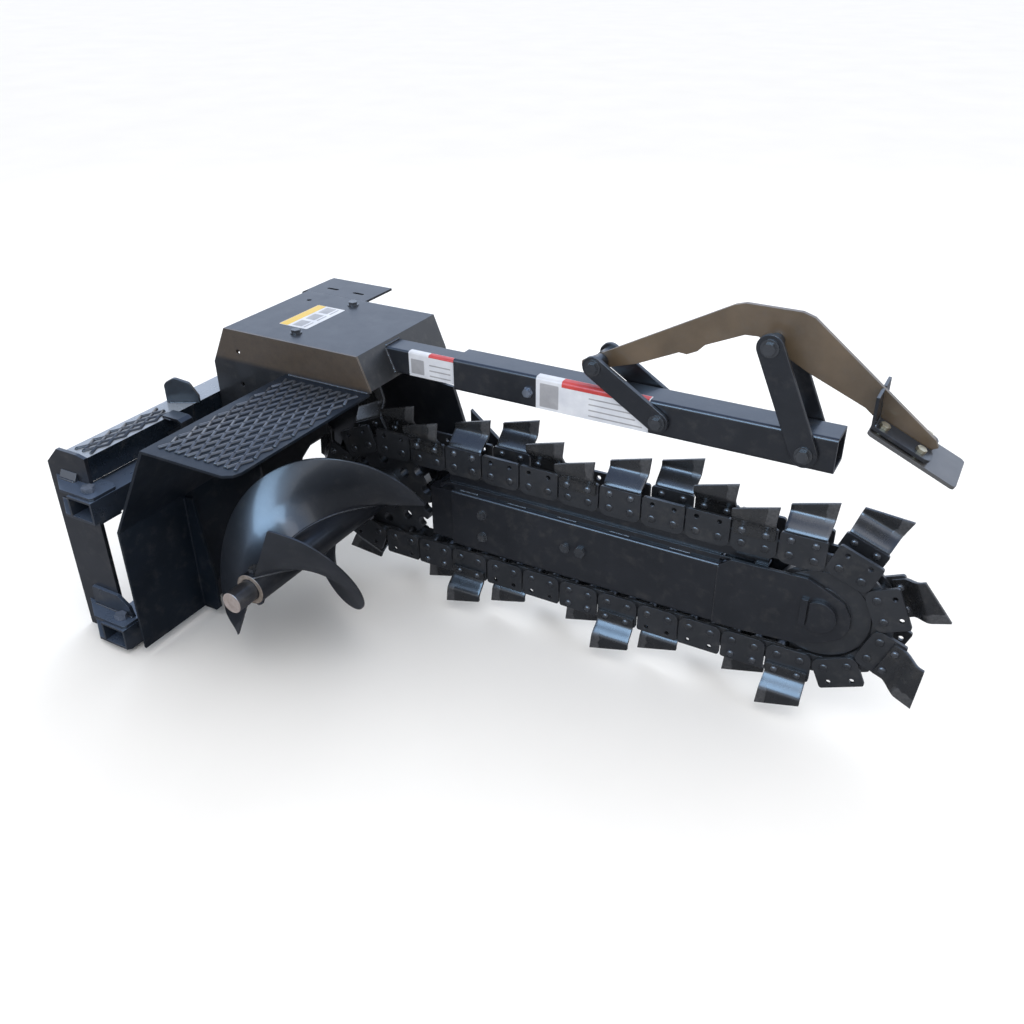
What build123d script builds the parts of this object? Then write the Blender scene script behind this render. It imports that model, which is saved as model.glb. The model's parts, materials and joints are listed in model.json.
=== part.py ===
"""Chain trencher attachment for a compact loader: an assembly of separate sub-parts.

Frame: origin on the head-shaft axis at the middle of its bare end, +X out along the boom,
+Y across the machine along the shaft, +Z up. Everything is in millimetres. The sketches below
measure Y from the middle plane of the crumber bar; save() moves each part into the frame.
"""
from build123d import *
from math import atan2, cos, degrees, hypot, radians, sin
import os

os.makedirs("parts", exist_ok=True)

# ---------------------------------------------------------------- driving dimensions
# Digging chain
PITCH = 42.0                    # 1.654 inch trencher chain
WHEEL_TEETH = 16
CENTRES = 22 * PITCH            # head shaft to idler axle
PHASE = 9.46                    # pin angle past vertical on both wheels, degrees
PIN_CIRCLE = PITCH / (2 * sin(radians(180 / WHEEL_TEETH)))
ROLLER_R = 11.0
PIN_R = 6.4
PLATE_T = 6.0
CHAIN_Y = -18.5                 # middle plane of the chain and boom
OUTER_Y = 25.5                  # outer face of the outer plates from the chain middle
INNER_Y = 19.1                  # outer face of the inner plates
PLATE_L = 81.0
PLATE_TOP = 42.0                # plate edge above the pin line
PLATE_BOTTOM = 18.0             # plate edge below the pin line
BOLT_UP = 30.0                  # tooth bolts above the pin line
TOOTH_W = 74.0
TOOTH_T = 6.0
LEAN_FAR = 28.0                 # sideways set of the teeth that lean towards +Y
LEAN_NEAR = 22.0                # and of those that lean towards -Y
TOOTH_LOW = 78.0                # trailing end of the cutting edge above the pin line
TOOTH_HIGH = 100.0              # leading end
BARE_LINK = 14                  # the joining link carries no tooth

# Head shaft and auger
SHAFT_R = 20.6
SHAFT_END = -502.0
BARE_END_MIDDLE = -478.5        # the frame's origin, seen from the crumber bar's plane
AUGER_END = -453.0
AUGER_START = -109.0
AUGER_R = 160.0
AUGER_TUBE_R = 30.0
AUGER_LEAD = 536.0
FLIGHT_T = 7.0

# Boom
BOOM_HALF_Y = 21.0
BOOM_TOP = 47.0
BOOM_LOW = -81.0
BOOM_START = 173.0
BOOM_END = 738.0
BOOM_WALL = 6.0

# Crumber bar
BAR_Z = 298.7
BAR_OUT = 63.5                  # 2 1/2 inch square tube
BAR_IN = 50.8                   # 2 inch square tube
BAR_START = 185.0
BAR_END = 903.0
BAR_INNER_END = 520.0
PIVOT_R = 8.0
PIVOT_HOLE_R = 8.06
PIVOT_A = (601.0, 295.0)        # rear links on the bar
PIVOT_B = (854.0, 295.0)        # front links on the bar
PIVOT_C = (477.0, 373.0)        # rear links on the arm
PIVOT_D = (778.0, 464.0)        # front links on the arm
LINK_IN = 33.0                  # inner face of the links
LINK_T = 8.0
ARM_HALF = 4.0

# Housing
HOUSE_NEAR = -115.0
HOUSE_FAR = 150.0
HOUSE_TOP = 333.0
HOUSE_REAR = -313.0
HOUSE_FRONT = 21.0
SLOPE_FOOT = (48.0, 266.0)
SHEET = 5.0

# Step and soil guard
STEP_Z = 262.0
STEP_REAR = -162.0
STEP_FRONT = 46.0
GUARD_NEAR = -496.0
GUARD_BEND = (-276.0, 63.0)
GUARD_FOOT = (-278.0, -209.0)

# Loader-side frame
PLATE_NEAR = -470.0             # outer face of the near end plate
PLATE_FAR = 345.0               # outer face of the far end plate
END_T = 8.0
FRAME_REAR = -466.0
FRAME_FRONT = -356.0
FRAME_TOP = 189.0
FRAME_FOOT = -230.0
CHANNEL_TOP = 184.0
TUBE_X = -338.0
TUBE_W = 64.0
TUBE_H = 46.0
UPPER_TUBE_Z = 103.0
LOWER_TUBE_Z = -190.0
TUBE_NEAR = -515.0
TUBE_FAR = 384.0
CLAMP_T = 6.0


# ---------------------------------------------------------------- helpers
def side(y):
    """Sketch plane parallel to XZ at Y = y; extrude by a negative amount to go towards +Y."""
    return Plane.XZ.offset(-y)


def save(part, name):
    placed = part.translate((0, -BARE_END_MIDDLE, 0), transform=True)
    placed.label = name
    export_step(placed, "parts/" + name + ".step")


def chain_pins():
    """Pin centres (x, z) of the whole chain loop, starting just past the top of the sprocket."""
    dx = PIN_CIRCLE * sin(radians(PHASE))
    dz = PIN_CIRCLE * cos(radians(PHASE))
    step = 360 / WHEEL_TEETH
    angles = [radians(PHASE + step * i) for i in range(8)]
    top = [(dx + PITCH * i, dz) for i in range(22)]
    nose = [(CENTRES + PIN_CIRCLE * sin(a), PIN_CIRCLE * cos(a)) for a in angles]
    bottom = [(CENTRES - dx - PITCH * i, -dz) for i in range(22)]
    head = [(-PIN_CIRCLE * sin(a), -PIN_CIRCLE * cos(a)) for a in angles]
    return top + nose + bottom + head


PINS = chain_pins()


def link_place(first):
    """Location of a link from its first pin: local X along the chain, local Z outwards."""
    ax, az = PINS[first % len(PINS)]
    bx, bz = PINS[(first + 1) % len(PINS)]
    run = hypot(bx - ax, bz - az)
    tx = (bx - ax) / run
    tz = (bz - az) / run
    middle = ((ax + bx) / 2, CHAIN_Y, (az + bz) / 2)
    return Location(Plane(origin=middle, x_dir=(tx, 0, tz), z_dir=(-tz, 0, tx)))


def pin_place(index):
    x, z = PINS[index]
    return Location((x, CHAIN_Y, z))


OUTER_LINKS = [link_place(2 * i) for i in range(30)]
INNER_LINKS = [link_place(2 * i + 1) for i in range(30)]


def links_with(kind):
    """Outer links that carry tooth kind 0 near-out, 1 near-in, 2 far-out or 3 far-in."""
    chosen = []
    for i in range(30):
        order = (i + 3) % 4 if i < BARE_LINK else (i + 1) % 4
        if i != BARE_LINK and order == kind:
            chosen.append(i)
    return chosen


def cross_bolt(x, z, reach, head_r=9.0, washer_r=15.0):
    """Bolt along Y with a hex head and a nut over washers, outside plus and minus reach."""
    with BuildPart() as bolt:
        with BuildSketch(side(-reach - 8)):
            with Locations((x, z)):
                Circle(PIVOT_R)
        extrude(amount=-(2 * reach + 16))
        with BuildSketch(side(-reach - 2.4), side(reach)):
            with Locations((x, z)):
                Circle(washer_r)
        extrude(amount=-2.4)
        with BuildSketch(side(-reach - 8.4), side(reach + 2.4)):
            with Locations((x, z)):
                RegularPolygon(head_r + 2, 6)
        extrude(amount=-6)
    return bolt.part


# ---------------------------------------------------------------- digging chain
def chain_plate(inner_face):
    """One outer side plate, its inner face at Y = inner_face and 6 mm thick towards +Y."""
    with BuildPart() as plate:
        with BuildSketch(side(inner_face)):
            with Locations((0, (PLATE_TOP - PLATE_BOTTOM) / 2)):
                Rectangle(PLATE_L, PLATE_TOP + PLATE_BOTTOM)
            fillet(vertices().group_by(Axis.Y)[0], radius=15)
            fillet(vertices().group_by(Axis.Y)[-1], radius=5)
            with Locations((-PITCH / 2, 0), (PITCH / 2, 0)):
                Circle(PIN_R + 0.1, mode=Mode.SUBTRACT)
            with Locations((-PITCH / 2, BOLT_UP), (PITCH / 2, BOLT_UP)):
                Circle(4.6, mode=Mode.SUBTRACT)
        extrude(amount=-PLATE_T)
    return plate.part


near_plate = chain_plate(-OUTER_Y)
far_plate = chain_plate(OUTER_Y - PLATE_T)

with BuildPart() as chain_plates_near:
    with Locations(*OUTER_LINKS):
        add(near_plate)
save(chain_plates_near.part, "chain_plates_near")

with BuildPart() as chain_plates_far:
    with Locations(*OUTER_LINKS):
        add(far_plate)
save(chain_plates_far.part, "chain_plates_far")

with BuildPart() as inner_pair:
    with BuildSketch(side(-INNER_Y), side(INNER_Y - PLATE_T)):
        SlotOverall(PITCH + 35, 35)
        with Locations((-PITCH / 2, 0), (PITCH / 2, 0)):
            Circle(PIN_R + 0.1, mode=Mode.SUBTRACT)
    extrude(amount=-PLATE_T)

with BuildPart() as chain_inner_plates:
    with Locations(*INNER_LINKS):
        add(inner_pair.part)
save(chain_inner_plates.part, "chain_inner_plates")

with BuildPart() as roller:
    with BuildSketch(side(-INNER_Y + PLATE_T)):
        Circle(ROLLER_R)
        Circle(PIN_R + 0.1, mode=Mode.SUBTRACT)
    extrude(amount=-2 * (INNER_Y - PLATE_T))

with BuildPart() as chain_rollers:
    with Locations(*[pin_place(i) for i in range(60)]):
        add(roller.part)
save(chain_rollers.part, "chain_rollers")

with BuildPart() as pin:
    with BuildSketch(side(-OUTER_Y)):
        Circle(PIN_R)
    extrude(amount=-2 * OUTER_Y)
    with BuildSketch(side(-OUTER_Y - 2.5), side(OUTER_Y)):
        Circle(PIN_R + 1.4)
    extrude(amount=-2.5)

with BuildPart() as chain_pins_group:
    with Locations(*[pin_place(i) for i in range(60)]):
        add(pin.part)
save(chain_pins_group.part, "chain_pins")


# ---------------------------------------------------------------- digging teeth
def tooth(base_y, lean):
    """Joggled tooth: flat base bolted to a side plate, sloping web, upright cutting blade."""
    b = base_y
    h = TOOTH_T / 2
    reach = LEAN_FAR if lean > 0 else LEAN_NEAR
    profile = [
        (b - lean * h, 20), (b + lean * h, 20), (b + lean * h, 41),
        (b + lean * (reach + h), 62), (b + lean * (reach + h), TOOTH_HIGH + 3),
        (b + lean * (reach - h), TOOTH_HIGH + 3), (b + lean * (reach - h), 66),
        (b - lean * h, 45),
    ]
    with BuildPart() as blade:
        with BuildSketch(Plane.YZ.offset(-TOOTH_W / 2)):
            Polygon(*profile, align=None)
        extrude(amount=TOOTH_W + 6)
        with BuildSketch(side(-90)):
            Polygon((-50, TOOTH_LOW - 3), (50, TOOTH_HIGH + 3), (50, 120), (-50, 120), align=None)
            Polygon((37, 10), (37, 40), (43.2, 104), (60, 104), (60, 10), align=None)
        extrude(amount=-180, mode=Mode.SUBTRACT)
        with BuildSketch(side(-90)):
            with Locations((-PITCH / 2, BOLT_UP), (PITCH / 2, BOLT_UP)):
                Circle(4.6)
        extrude(amount=-180, mode=Mode.SUBTRACT)
    return blade.part


def tooth_bolts(low, high):
    """Two hex bolts through the plate and tooth stack between Y = low and Y = high."""
    with BuildPart() as bolts:
        with BuildSketch(side(low)):
            with Locations((-PITCH / 2, BOLT_UP), (PITCH / 2, BOLT_UP)):
                Circle(4.4)
        extrude(amount=-(high - low))
        with BuildSketch(side(low - 5), side(high)):
            with Locations((-PITCH / 2, BOLT_UP), (PITCH / 2, BOLT_UP)):
                RegularPolygon(7.6, 6)
        extrude(amount=-5)
    return bolts.part


TOOTH_KINDS = [
    ("teeth_near_out", 0, -OUTER_Y - TOOTH_T / 2, -1, -OUTER_Y - TOOTH_T, -OUTER_Y + PLATE_T),
    ("teeth_near_in", 1, -OUTER_Y + 1.5 * TOOTH_T, 1, -OUTER_Y, -OUTER_Y + 2 * PLATE_T),
    ("teeth_far_out", 2, OUTER_Y + TOOTH_T / 2, 1, OUTER_Y - PLATE_T, OUTER_Y + TOOTH_T),
    ("teeth_far_in", 3, OUTER_Y - 1.5 * TOOTH_T, -1, OUTER_Y - 2 * PLATE_T, OUTER_Y),
]

bolt_groups = []
for name, kind, base_y, lean, low, high in TOOTH_KINDS:
    blade_part = tooth(base_y, lean)
    places = [OUTER_LINKS[i] for i in links_with(kind)]
    with BuildPart() as teeth:
        with Locations(*places):
            add(blade_part)
    save(teeth.part, name)
    bolt_groups.append((tooth_bolts(low, high), places))

with BuildPart() as chain_bolts:
    for bolt_part, places in bolt_groups:
        with Locations(*places):
            add(bolt_part)
save(chain_bolts.part, "tooth_bolts")

# ---------------------------------------------------------------- head shaft, sprocket, auger
with BuildPart() as head_shaft:
    with BuildSketch(side(SHAFT_END)):
        Circle(SHAFT_R)
    extrude(amount=-(96 - SHAFT_END))
    chamfer(faces().sort_by(Axis.Y)[0].edges(), length=1)
    with BuildSketch(side(AUGER_END - 3)):
        Circle(SHAFT_R + 2)
        Circle(SHAFT_R - 1.2, mode=Mode.SUBTRACT)
    extrude(amount=-2.8, mode=Mode.SUBTRACT)
save(head_shaft.part, "head_shaft")

with BuildPart() as sprocket:
    with BuildSketch(side(CHAIN_Y - 9)):
        Circle(PIN_CIRCLE + 6)
        with PolarLocations(PIN_CIRCLE, WHEEL_TEETH, start_angle=90 - PHASE):
            Circle(ROLLER_R + 0.6, mode=Mode.SUBTRACT)
            Polygon((0, -11), (16, -19), (16, 19), (0, 11), align=None, mode=Mode.SUBTRACT)
        Circle(SHAFT_R + 0.1, mode=Mode.SUBTRACT)
    extrude(amount=-18)
    with BuildSketch(side(-52)):
        Circle(46)
        Circle(SHAFT_R + 0.1, mode=Mode.SUBTRACT)
    extrude(amount=-104)
    with BuildSketch(side(CHAIN_Y - 9)):
        with PolarLocations(72, 8):
            Circle(11)
    extrude(amount=-18, mode=Mode.SUBTRACT)
save(sprocket.part, "sprocket")

with BuildPart() as auger_tube:
    with BuildSketch(side(AUGER_END)):
        Circle(AUGER_TUBE_R)
        Circle(SHAFT_R + 0.2, mode=Mode.SUBTRACT)
    extrude(amount=-(-54 - AUGER_END))
    with BuildSketch(Plane.XY):
        with Locations((0, AUGER_END + 18), (0, -92)):
            Circle(6.2)
    extrude(amount=40, both=True, mode=Mode.SUBTRACT)
save(auger_tube.part, "auger_tube")


def flight_plane(angle, y):
    """Section plane through the shaft axis, local X radial and local Y along the shaft."""
    c = cos(radians(angle))
    s = sin(radians(angle))
    middle = (AUGER_R + AUGER_TUBE_R + 0.5) / 2
    return Plane(origin=(middle * c, y, middle * s), x_dir=(c, 0, s), z_dir=(-s, 0, c))


def flight(start_angle):
    """One left-hand start of the auger as a lofted ruled strip."""
    turn = 360 * (AUGER_START - AUGER_END) / AUGER_LEAD
    steps = 22
    with BuildPart() as strip:
        for i in range(steps + 1):
            y = AUGER_END + 4 + (AUGER_START - AUGER_END) * i / steps
            with BuildSketch(flight_plane(start_angle - turn * i / steps, y)):
                Rectangle(AUGER_R - AUGER_TUBE_R - 0.5, FLIGHT_T)
        loft(ruled=True)
    return strip.part


with BuildPart() as auger_flights:
    add(flight(66))
    add(flight(246))
save(auger_flights.part, "auger_flights")

with BuildPart() as auger_bolts:
    with BuildSketch(Plane.XY.offset(-42)):
        with Locations((0, AUGER_END + 18), (0, -92)):
            Circle(6)
    extrude(amount=12)
    with BuildSketch(Plane.XY.offset(SHAFT_R + 0.6)):
        with Locations((0, AUGER_END + 18), (0, -92)):
            Circle(6)
    extrude(amount=15)
    with BuildSketch(Plane.XY.offset(30.6)):
        with Locations((0, AUGER_END + 18), (0, -92)):
            RegularPolygon(11, 6)
    extrude(amount=7)
    with BuildSketch(Plane.XY.offset(-38)):
        with Locations((0, AUGER_END + 18), (0, -92)):
            RegularPolygon(10, 6)
    extrude(amount=7.4)
save(auger_bolts.part, "auger_bolts")

# ---------------------------------------------------------------- boom
with BuildPart() as boom_sleeve:
    with BuildSketch(Plane.YZ.offset(BOOM_START)):
        with Locations((CHAIN_Y, (BOOM_TOP + BOOM_LOW) / 2)):
            RectangleRounded(2 * BOOM_HALF_Y, BOOM_TOP - BOOM_LOW, 5)
            Rectangle(2 * (BOOM_HALF_Y - BOOM_WALL), BOOM_TOP - BOOM_LOW - 2 * BOOM_WALL,
                      mode=Mode.SUBTRACT)
    extrude(amount=BOOM_END - BOOM_START)
save(boom_sleeve.part, "boom_sleeve")

with BuildPart() as boom_inner:
    inner_h = BOOM_TOP - BOOM_LOW - 2 * BOOM_WALL - 1.2
    inner_w = 2 * (BOOM_HALF_Y - BOOM_WALL) - 1.2
    with BuildSketch(Plane.YZ.offset(119)):
        with Locations((CHAIN_Y, (BOOM_TOP + BOOM_LOW) / 2)):
            Rectangle(inner_w, inner_h)
            Rectangle(inner_w - 12, inner_h - 12, mode=Mode.SUBTRACT)
    extrude(amount=300)
save(boom_inner.part, "boom_inner")

NOSE_OUTLINE = [
    (738, -80), (738, 47), (760, 64), (895, 68), (922, 57), (962, 37), (976, 12),
    (978, -12), (966, -36), (930, -58), (880, -72), (800, -78),
]

with BuildPart() as boom_nose:
    with BuildSketch(side(-42), side(-1)):
        Polygon(*NOSE_OUTLINE, align=None)
        fillet(vertices().group_by(Axis.X)[-1], radius=14)
        with Locations((CENTRES, 0)):
            Circle(20.4, mode=Mode.SUBTRACT)
    extrude(amount=-6)
    with BuildSketch(Plane.YZ.offset(738.2)):
        with Locations((CHAIN_Y, -16)):
            Rectangle(35, 114)
            Rectangle(25, 100, mode=Mode.SUBTRACT)
    extrude(amount=62)
save(boom_nose.part, "boom_nose")

with BuildPart() as wear_strips:
    with BuildSketch(side(CHAIN_Y - 12)):
        Polygon((139, 41.5), (145, 41.5), (145, 44), (152, 52), (160, 54), (823, 54), (823, 64),
                (800, 64), (800, 60), (158, 60), (146, 55), (139, 46), align=None)
    extrude(amount=-24)
    with BuildSketch(side(CHAIN_Y - 12)):
        Polygon((BOOM_START + 4, -81.2), (800, -81.2), (800, -86), (BOOM_START + 4, -86), align=None)
    extrude(amount=-24)
    with BuildSketch(side(CHAIN_Y - 12)):
        Polygon((176, 47.2), (736, 47.2), (736, 54), (176, 54), align=None)
    extrude(amount=-24)
    with BuildSketch(side(CHAIN_Y - 9)):
        Polygon((736, 47.2), (736, 62), (796, 62), (796, 47.2), align=None)
    extrude(amount=-18, mode=Mode.SUBTRACT)
    with BuildSketch(side(CHAIN_Y - 6)):
        Polygon((162, 59), (162, 84), (172, 92), (812, 92), (822, 84), (822, 63.5), (796, 63.5),
                (796, 62.5), (740, 62.5), (736, 59), align=None)
    extrude(amount=-12)
save(wear_strips.part, "boom_wear_strips")

with BuildPart() as idler_axle:
    with BuildSketch(side(-43)):
        with Locations((CENTRES, 0)):
            Circle(20)
    extrude(amount=-49)
    with BuildSketch(side(-50), side(5.2)):
        with Locations((CENTRES, 0)):
            Circle(31)
        with Locations((CENTRES - 42, 0)):
            Rectangle(50, 80, rotation=0, mode=Mode.SUBTRACT)
    extrude(amount=-7.8)
save(idler_axle.part, "idler_axle")

with BuildPart() as keeper_bars:
    with BuildSketch(side(-48.4), side(5.2)):
        with Locations((CENTRES - 26.5, 2)):
            Rectangle(12, 54)
    extrude(amount=-6.2)
save(keeper_bars.part, "axle_keepers")

with BuildPart() as boom_bolts:
    with BuildSketch(side(-41.1), side(2.5)):
        with Locations((245, 9), (245, -43)):
            Circle(11)
    extrude(amount=-1.6)
    with BuildSketch(side(-47.5), side(4.1)):
        with Locations((245, 9), (245, -43)):
            RegularPolygon(8.5, 6)
    extrude(amount=-6.4)
    with BuildSketch(side(-45.9)):
        with Locations((465, -11)):
            RegularPolygon(12, 6)
    extrude(amount=-6.4)
    with BuildSketch(side(-43.5)):
        with Locations((432, -12)):
            Circle(10.5)
    extrude(amount=-4)
    with BuildSketch(side(-45)):
        with Locations((432, -12)):
            Circle(7.5)
    extrude(amount=-1.5)
save(boom_bolts.part, "boom_bolts")

# Idler wheel: the rollers ride on the middle rim, the side flanges keep soil out.
with BuildPart() as idler_wheel:
    with BuildSketch(side(CHAIN_Y - 10)):
        with Locations((CENTRES, 0)):
            Circle(PIN_CIRCLE - ROLLER_R - 2)
            Circle(20.07, mode=Mode.SUBTRACT)
    extrude(amount=-20)
    with BuildSketch(side(CHAIN_Y - 15.5)):
        with Locations((CENTRES, 0)):
            Circle(85.5)
            Circle(20.07, mode=Mode.SUBTRACT)
    extrude(amount=-31)
    with BuildSketch(side(CHAIN_Y - 16.9)):
        with Locations((CENTRES, 0)):
            Circle(54)
            Circle(20.07, mode=Mode.SUBTRACT)
    extrude(amount=-33.8)
save(idler_wheel.part, "idler_wheel")


# ---------------------------------------------------------------- crumber bar and linkage
with BuildPart() as bar_inner:
    low = BAR_Z - BAR_IN / 2
    high = BAR_Z + BAR_IN / 2
    with BuildSketch(side(-BAR_IN / 2)):
        Polygon((26, high), (BAR_INNER_END, high), (BAR_INNER_END, low), (48, low), align=None)
    extrude(amount=-BAR_IN)
    with BuildSketch(Plane.YZ.offset(0)):
        with Locations((0, BAR_Z)):
            Rectangle(BAR_IN - 10, BAR_IN - 10)
    extrude(amount=BAR_INNER_END + 10, mode=Mode.SUBTRACT)
    fillet(edges().filter_by(Axis.X).filter_by(lambda e: abs(abs(e.center().Y) - BAR_IN / 2) < 0.1),
           radius=4)
save(bar_inner.part, "crumber_bar_inner")

with BuildPart() as bar_outer:
    with BuildSketch(Plane.YZ.offset(BAR_START)):
        with Locations((0, BAR_Z)):
            RectangleRounded(BAR_OUT, BAR_OUT, 6)
            Rectangle(BAR_IN + 0.8, BAR_IN + 0.8, mode=Mode.SUBTRACT)
    extrude(amount=BAR_END - BAR_START)
    with BuildSketch(side(-40)):
        with Locations(PIVOT_A, PIVOT_B):
            Circle(PIVOT_HOLE_R)
    extrude(amount=-80, mode=Mode.SUBTRACT)
    with BuildSketch(side(-40)):
        with Locations((346, 297)):
            Circle(5.3)
    extrude(amount=-40, mode=Mode.SUBTRACT)
save(bar_outer.part, "crumber_bar_outer")

with BuildPart() as bar_screw:
    with BuildSketch(side(-31.75)):
        with Locations((346, 297)):
            Circle(5.2)
    extrude(amount=-6)
    with BuildSketch(side(-35.4)):
        with Locations((346, 297)):
            RegularPolygon(10.5, 6)
    extrude(amount=-3.6)
    with BuildSketch(side(-41)):
        with Locations((346, 297)):
            RegularPolygon(8.5, 6)
    extrude(amount=-5.6)
save(bar_screw.part, "crumber_lock_screw")


def link_pair(start, end, width):
    """Two flat bars either side of the arm, drilled at both ends."""
    length = hypot(end[0] - start[0], end[1] - start[1])
    tilt = degrees(atan2(end[1] - start[1], end[0] - start[0]))
    centre = ((start[0] + end[0]) / 2, (start[1] + end[1]) / 2)
    with BuildPart() as pair:
        with BuildSketch(side(-LINK_IN - LINK_T), side(LINK_IN)):
            with Locations(centre):
                SlotCenterToCenter(length, width, rotation=tilt)
            with Locations(start, end):
                Circle(PIVOT_HOLE_R, mode=Mode.SUBTRACT)
        extrude(amount=-LINK_T)
        chamfer(edges().filter_by(lambda e: e.length > 60), length=0.8)
    return pair.part


save(link_pair(PIVOT_A, PIVOT_C, 40), "rear_links")
save(link_pair(PIVOT_B, PIVOT_D, 45), "front_links")


def spacers(point):
    """Tubes between the links and the arm on one pivot bolt."""
    with BuildPart() as tubes:
        with BuildSketch(side(-LINK_IN + 0.2), side(ARM_HALF + 0.6)):
            with Locations(point):
                Circle(14)
                Circle(PIVOT_HOLE_R, mode=Mode.SUBTRACT)
        extrude(amount=-(LINK_IN - ARM_HALF - 0.8))
    return tubes.part


save(spacers(PIVOT_C), "rear_spacers")
save(spacers(PIVOT_D), "front_spacers")

save(cross_bolt(PIVOT_C[0], PIVOT_C[1], LINK_IN + LINK_T + 0.1), "rear_arm_bolt")
save(cross_bolt(PIVOT_D[0], PIVOT_D[1], LINK_IN + LINK_T + 0.1), "front_arm_bolt")

with BuildPart() as bar_pivot_bolts:
    add(cross_bolt(PIVOT_A[0], PIVOT_A[1], LINK_IN + LINK_T + 0.2))
    add(cross_bolt(PIVOT_B[0], PIVOT_B[1], LINK_IN + LINK_T + 0.2))
save(bar_pivot_bolts.part, "bar_pivot_bolts")

ARM_TOP = [(440, 367), (705, 512), (722, 517), (812, 517), (832, 511), (1040, 350)]
ARM_BOTTOM = [(1046, 338), (1028, 329.5), (952, 363.5), (929, 381), (834, 421), (762, 459), (748, 466),
              (726, 465), (662, 436), (650, 423), (632, 414), (618, 415), (543, 380), (438, 347)]

with BuildPart() as crumber_arm:
    with BuildSketch(side(-ARM_HALF)):
        Polygon(*(ARM_TOP + ARM_BOTTOM), align=None)
        fillet(vertices().group_by(Axis.X)[0], radius=9)
        with Locations(PIVOT_C):
            Circle(PIVOT_HOLE_R, mode=Mode.SUBTRACT)
        with Locations(PIVOT_D):
            Circle(13.2, mode=Mode.SUBTRACT)
    extrude(amount=-2 * ARM_HALF)
save(crumber_arm.part, "crumber_arm")

# Crumber shoe: sloping bracket under the arm with an adjustable blade bolted below it.
SHOE_TILT = 24.4
SHOE_ORIGIN = (946.0, 0.0, 362.0)
shoe_plane = Plane(origin=SHOE_ORIGIN, x_dir=(cos(radians(SHOE_TILT)), 0, -sin(radians(SHOE_TILT))),
                   z_dir=(sin(radians(SHOE_TILT)), 0, cos(radians(SHOE_TILT))))

with BuildPart() as shoe_blade:
    with BuildSketch(shoe_plane.offset(-4)):
        with Locations((76, 0)):
            RectangleRounded(152, 100, 8)
        with Locations((16, -30), (80, -30), (16, 30), (80, 30)):
            Circle(5.2, mode=Mode.SUBTRACT)
    extrude(amount=6)
save(shoe_blade.part, "shoe_blade")

with BuildPart() as shoe_bracket:
    with BuildSketch(shoe_plane.offset(6)):
        with Locations((50, -26)):
            Rectangle(100, 40)
        with Locations((50, 26)):
            Rectangle(100, 40)
        fillet(vertices().group_by(Axis.X)[-1], radius=12)
    extrude(amount=6)
    with BuildSketch(Plane.XY.offset(367)):
        with Locations((951, -26), (951, 26)):
            Rectangle(5, 40)
    extrude(amount=52)
    with BuildSketch(shoe_plane.offset(6)):
        with Locations((16, -30), (80, -30), (16, 30), (80, 30)):
            Circle(5.2)
    extrude(amount=6, mode=Mode.SUBTRACT)
save(shoe_bracket.part, "shoe_bracket")

with BuildPart() as shoe_bolts:
    spots = [(16, -30), (80, -30), (16, 30), (80, 30)]
    with BuildSketch(shoe_plane.offset(-4)):
        with Locations(*spots):
            Circle(5)
    extrude(amount=22)
    with BuildSketch(shoe_plane.offset(-8)):
        with Locations(*spots):
            RegularPolygon(8.5, 6)
    extrude(amount=4)
    with BuildSketch(shoe_plane.offset(2)):
        with Locations(*spots):
            Circle(8)
    extrude(amount=4)
    with BuildSketch(shoe_plane.offset(12)):
        with Locations(*spots):
            RegularPolygon(8.5, 6)
    extrude(amount=6)
save(shoe_bolts.part, "shoe_bolts")

# ---------------------------------------------------------------- drive housing
with BuildPart() as housing_cover:
    with BuildSketch(side(HOUSE_NEAR + SHEET)):
        Polygon((HOUSE_REAR - 40, 254), (HOUSE_REAR, HOUSE_TOP), (HOUSE_FRONT, HOUSE_TOP), SLOPE_FOOT,
                (SLOPE_FOOT[0] - SHEET, SLOPE_FOOT[1] - 1), (HOUSE_FRONT - 4, HOUSE_TOP - SHEET),
                (HOUSE_REAR + 4, HOUSE_TOP - SHEET), (HOUSE_REAR - 35, 252), align=None)
    extrude(amount=-(HOUSE_FAR - HOUSE_NEAR - SHEET))
    with BuildSketch(Plane.XY.offset(HOUSE_TOP - SHEET)):
        with Locations((-163, -67), (-164, 123), (-269, 105)):
            Circle(5.2)
    extrude(amount=SHEET, mode=Mode.SUBTRACT)
save(housing_cover.part, "housing_cover")

with BuildPart() as housing_side_near:
    with BuildSketch(side(HOUSE_NEAR)):
        Polygon((HOUSE_REAR - 40, 254), (HOUSE_REAR, HOUSE_TOP), (HOUSE_FRONT, HOUSE_TOP), SLOPE_FOOT,
                (SLOPE_FOOT[0], STEP_Z + 0.5), (-70, STEP_Z - SHEET - 1), (-70, 152), (-118, 117),
                (-148, 75), (-162, 32), (-165, 0), (-266, 0), (-266, 120), (-290, 120), (-298, 136),
                (-352, 150), align=None)
        with Locations((-282, 287), (-282, 216)):
            Circle(5, mode=Mode.SUBTRACT)
    extrude(amount=-SHEET)
save(housing_side_near.part, "housing_side_near")

with BuildPart() as housing_side_far:
    with BuildSketch(side(HOUSE_FAR)):
        Polygon((HOUSE_REAR - 40, 254), (HOUSE_REAR, HOUSE_TOP), (HOUSE_FRONT, HOUSE_TOP), SLOPE_FOOT,
                (SLOPE_FOOT[0], 215), (40, 201), (-200, 201), (-270, 136), (-300, 136), (-352, 150),
                align=None)
    extrude(amount=-SHEET)
save(housing_side_far.part, "housing_side_far")

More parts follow.
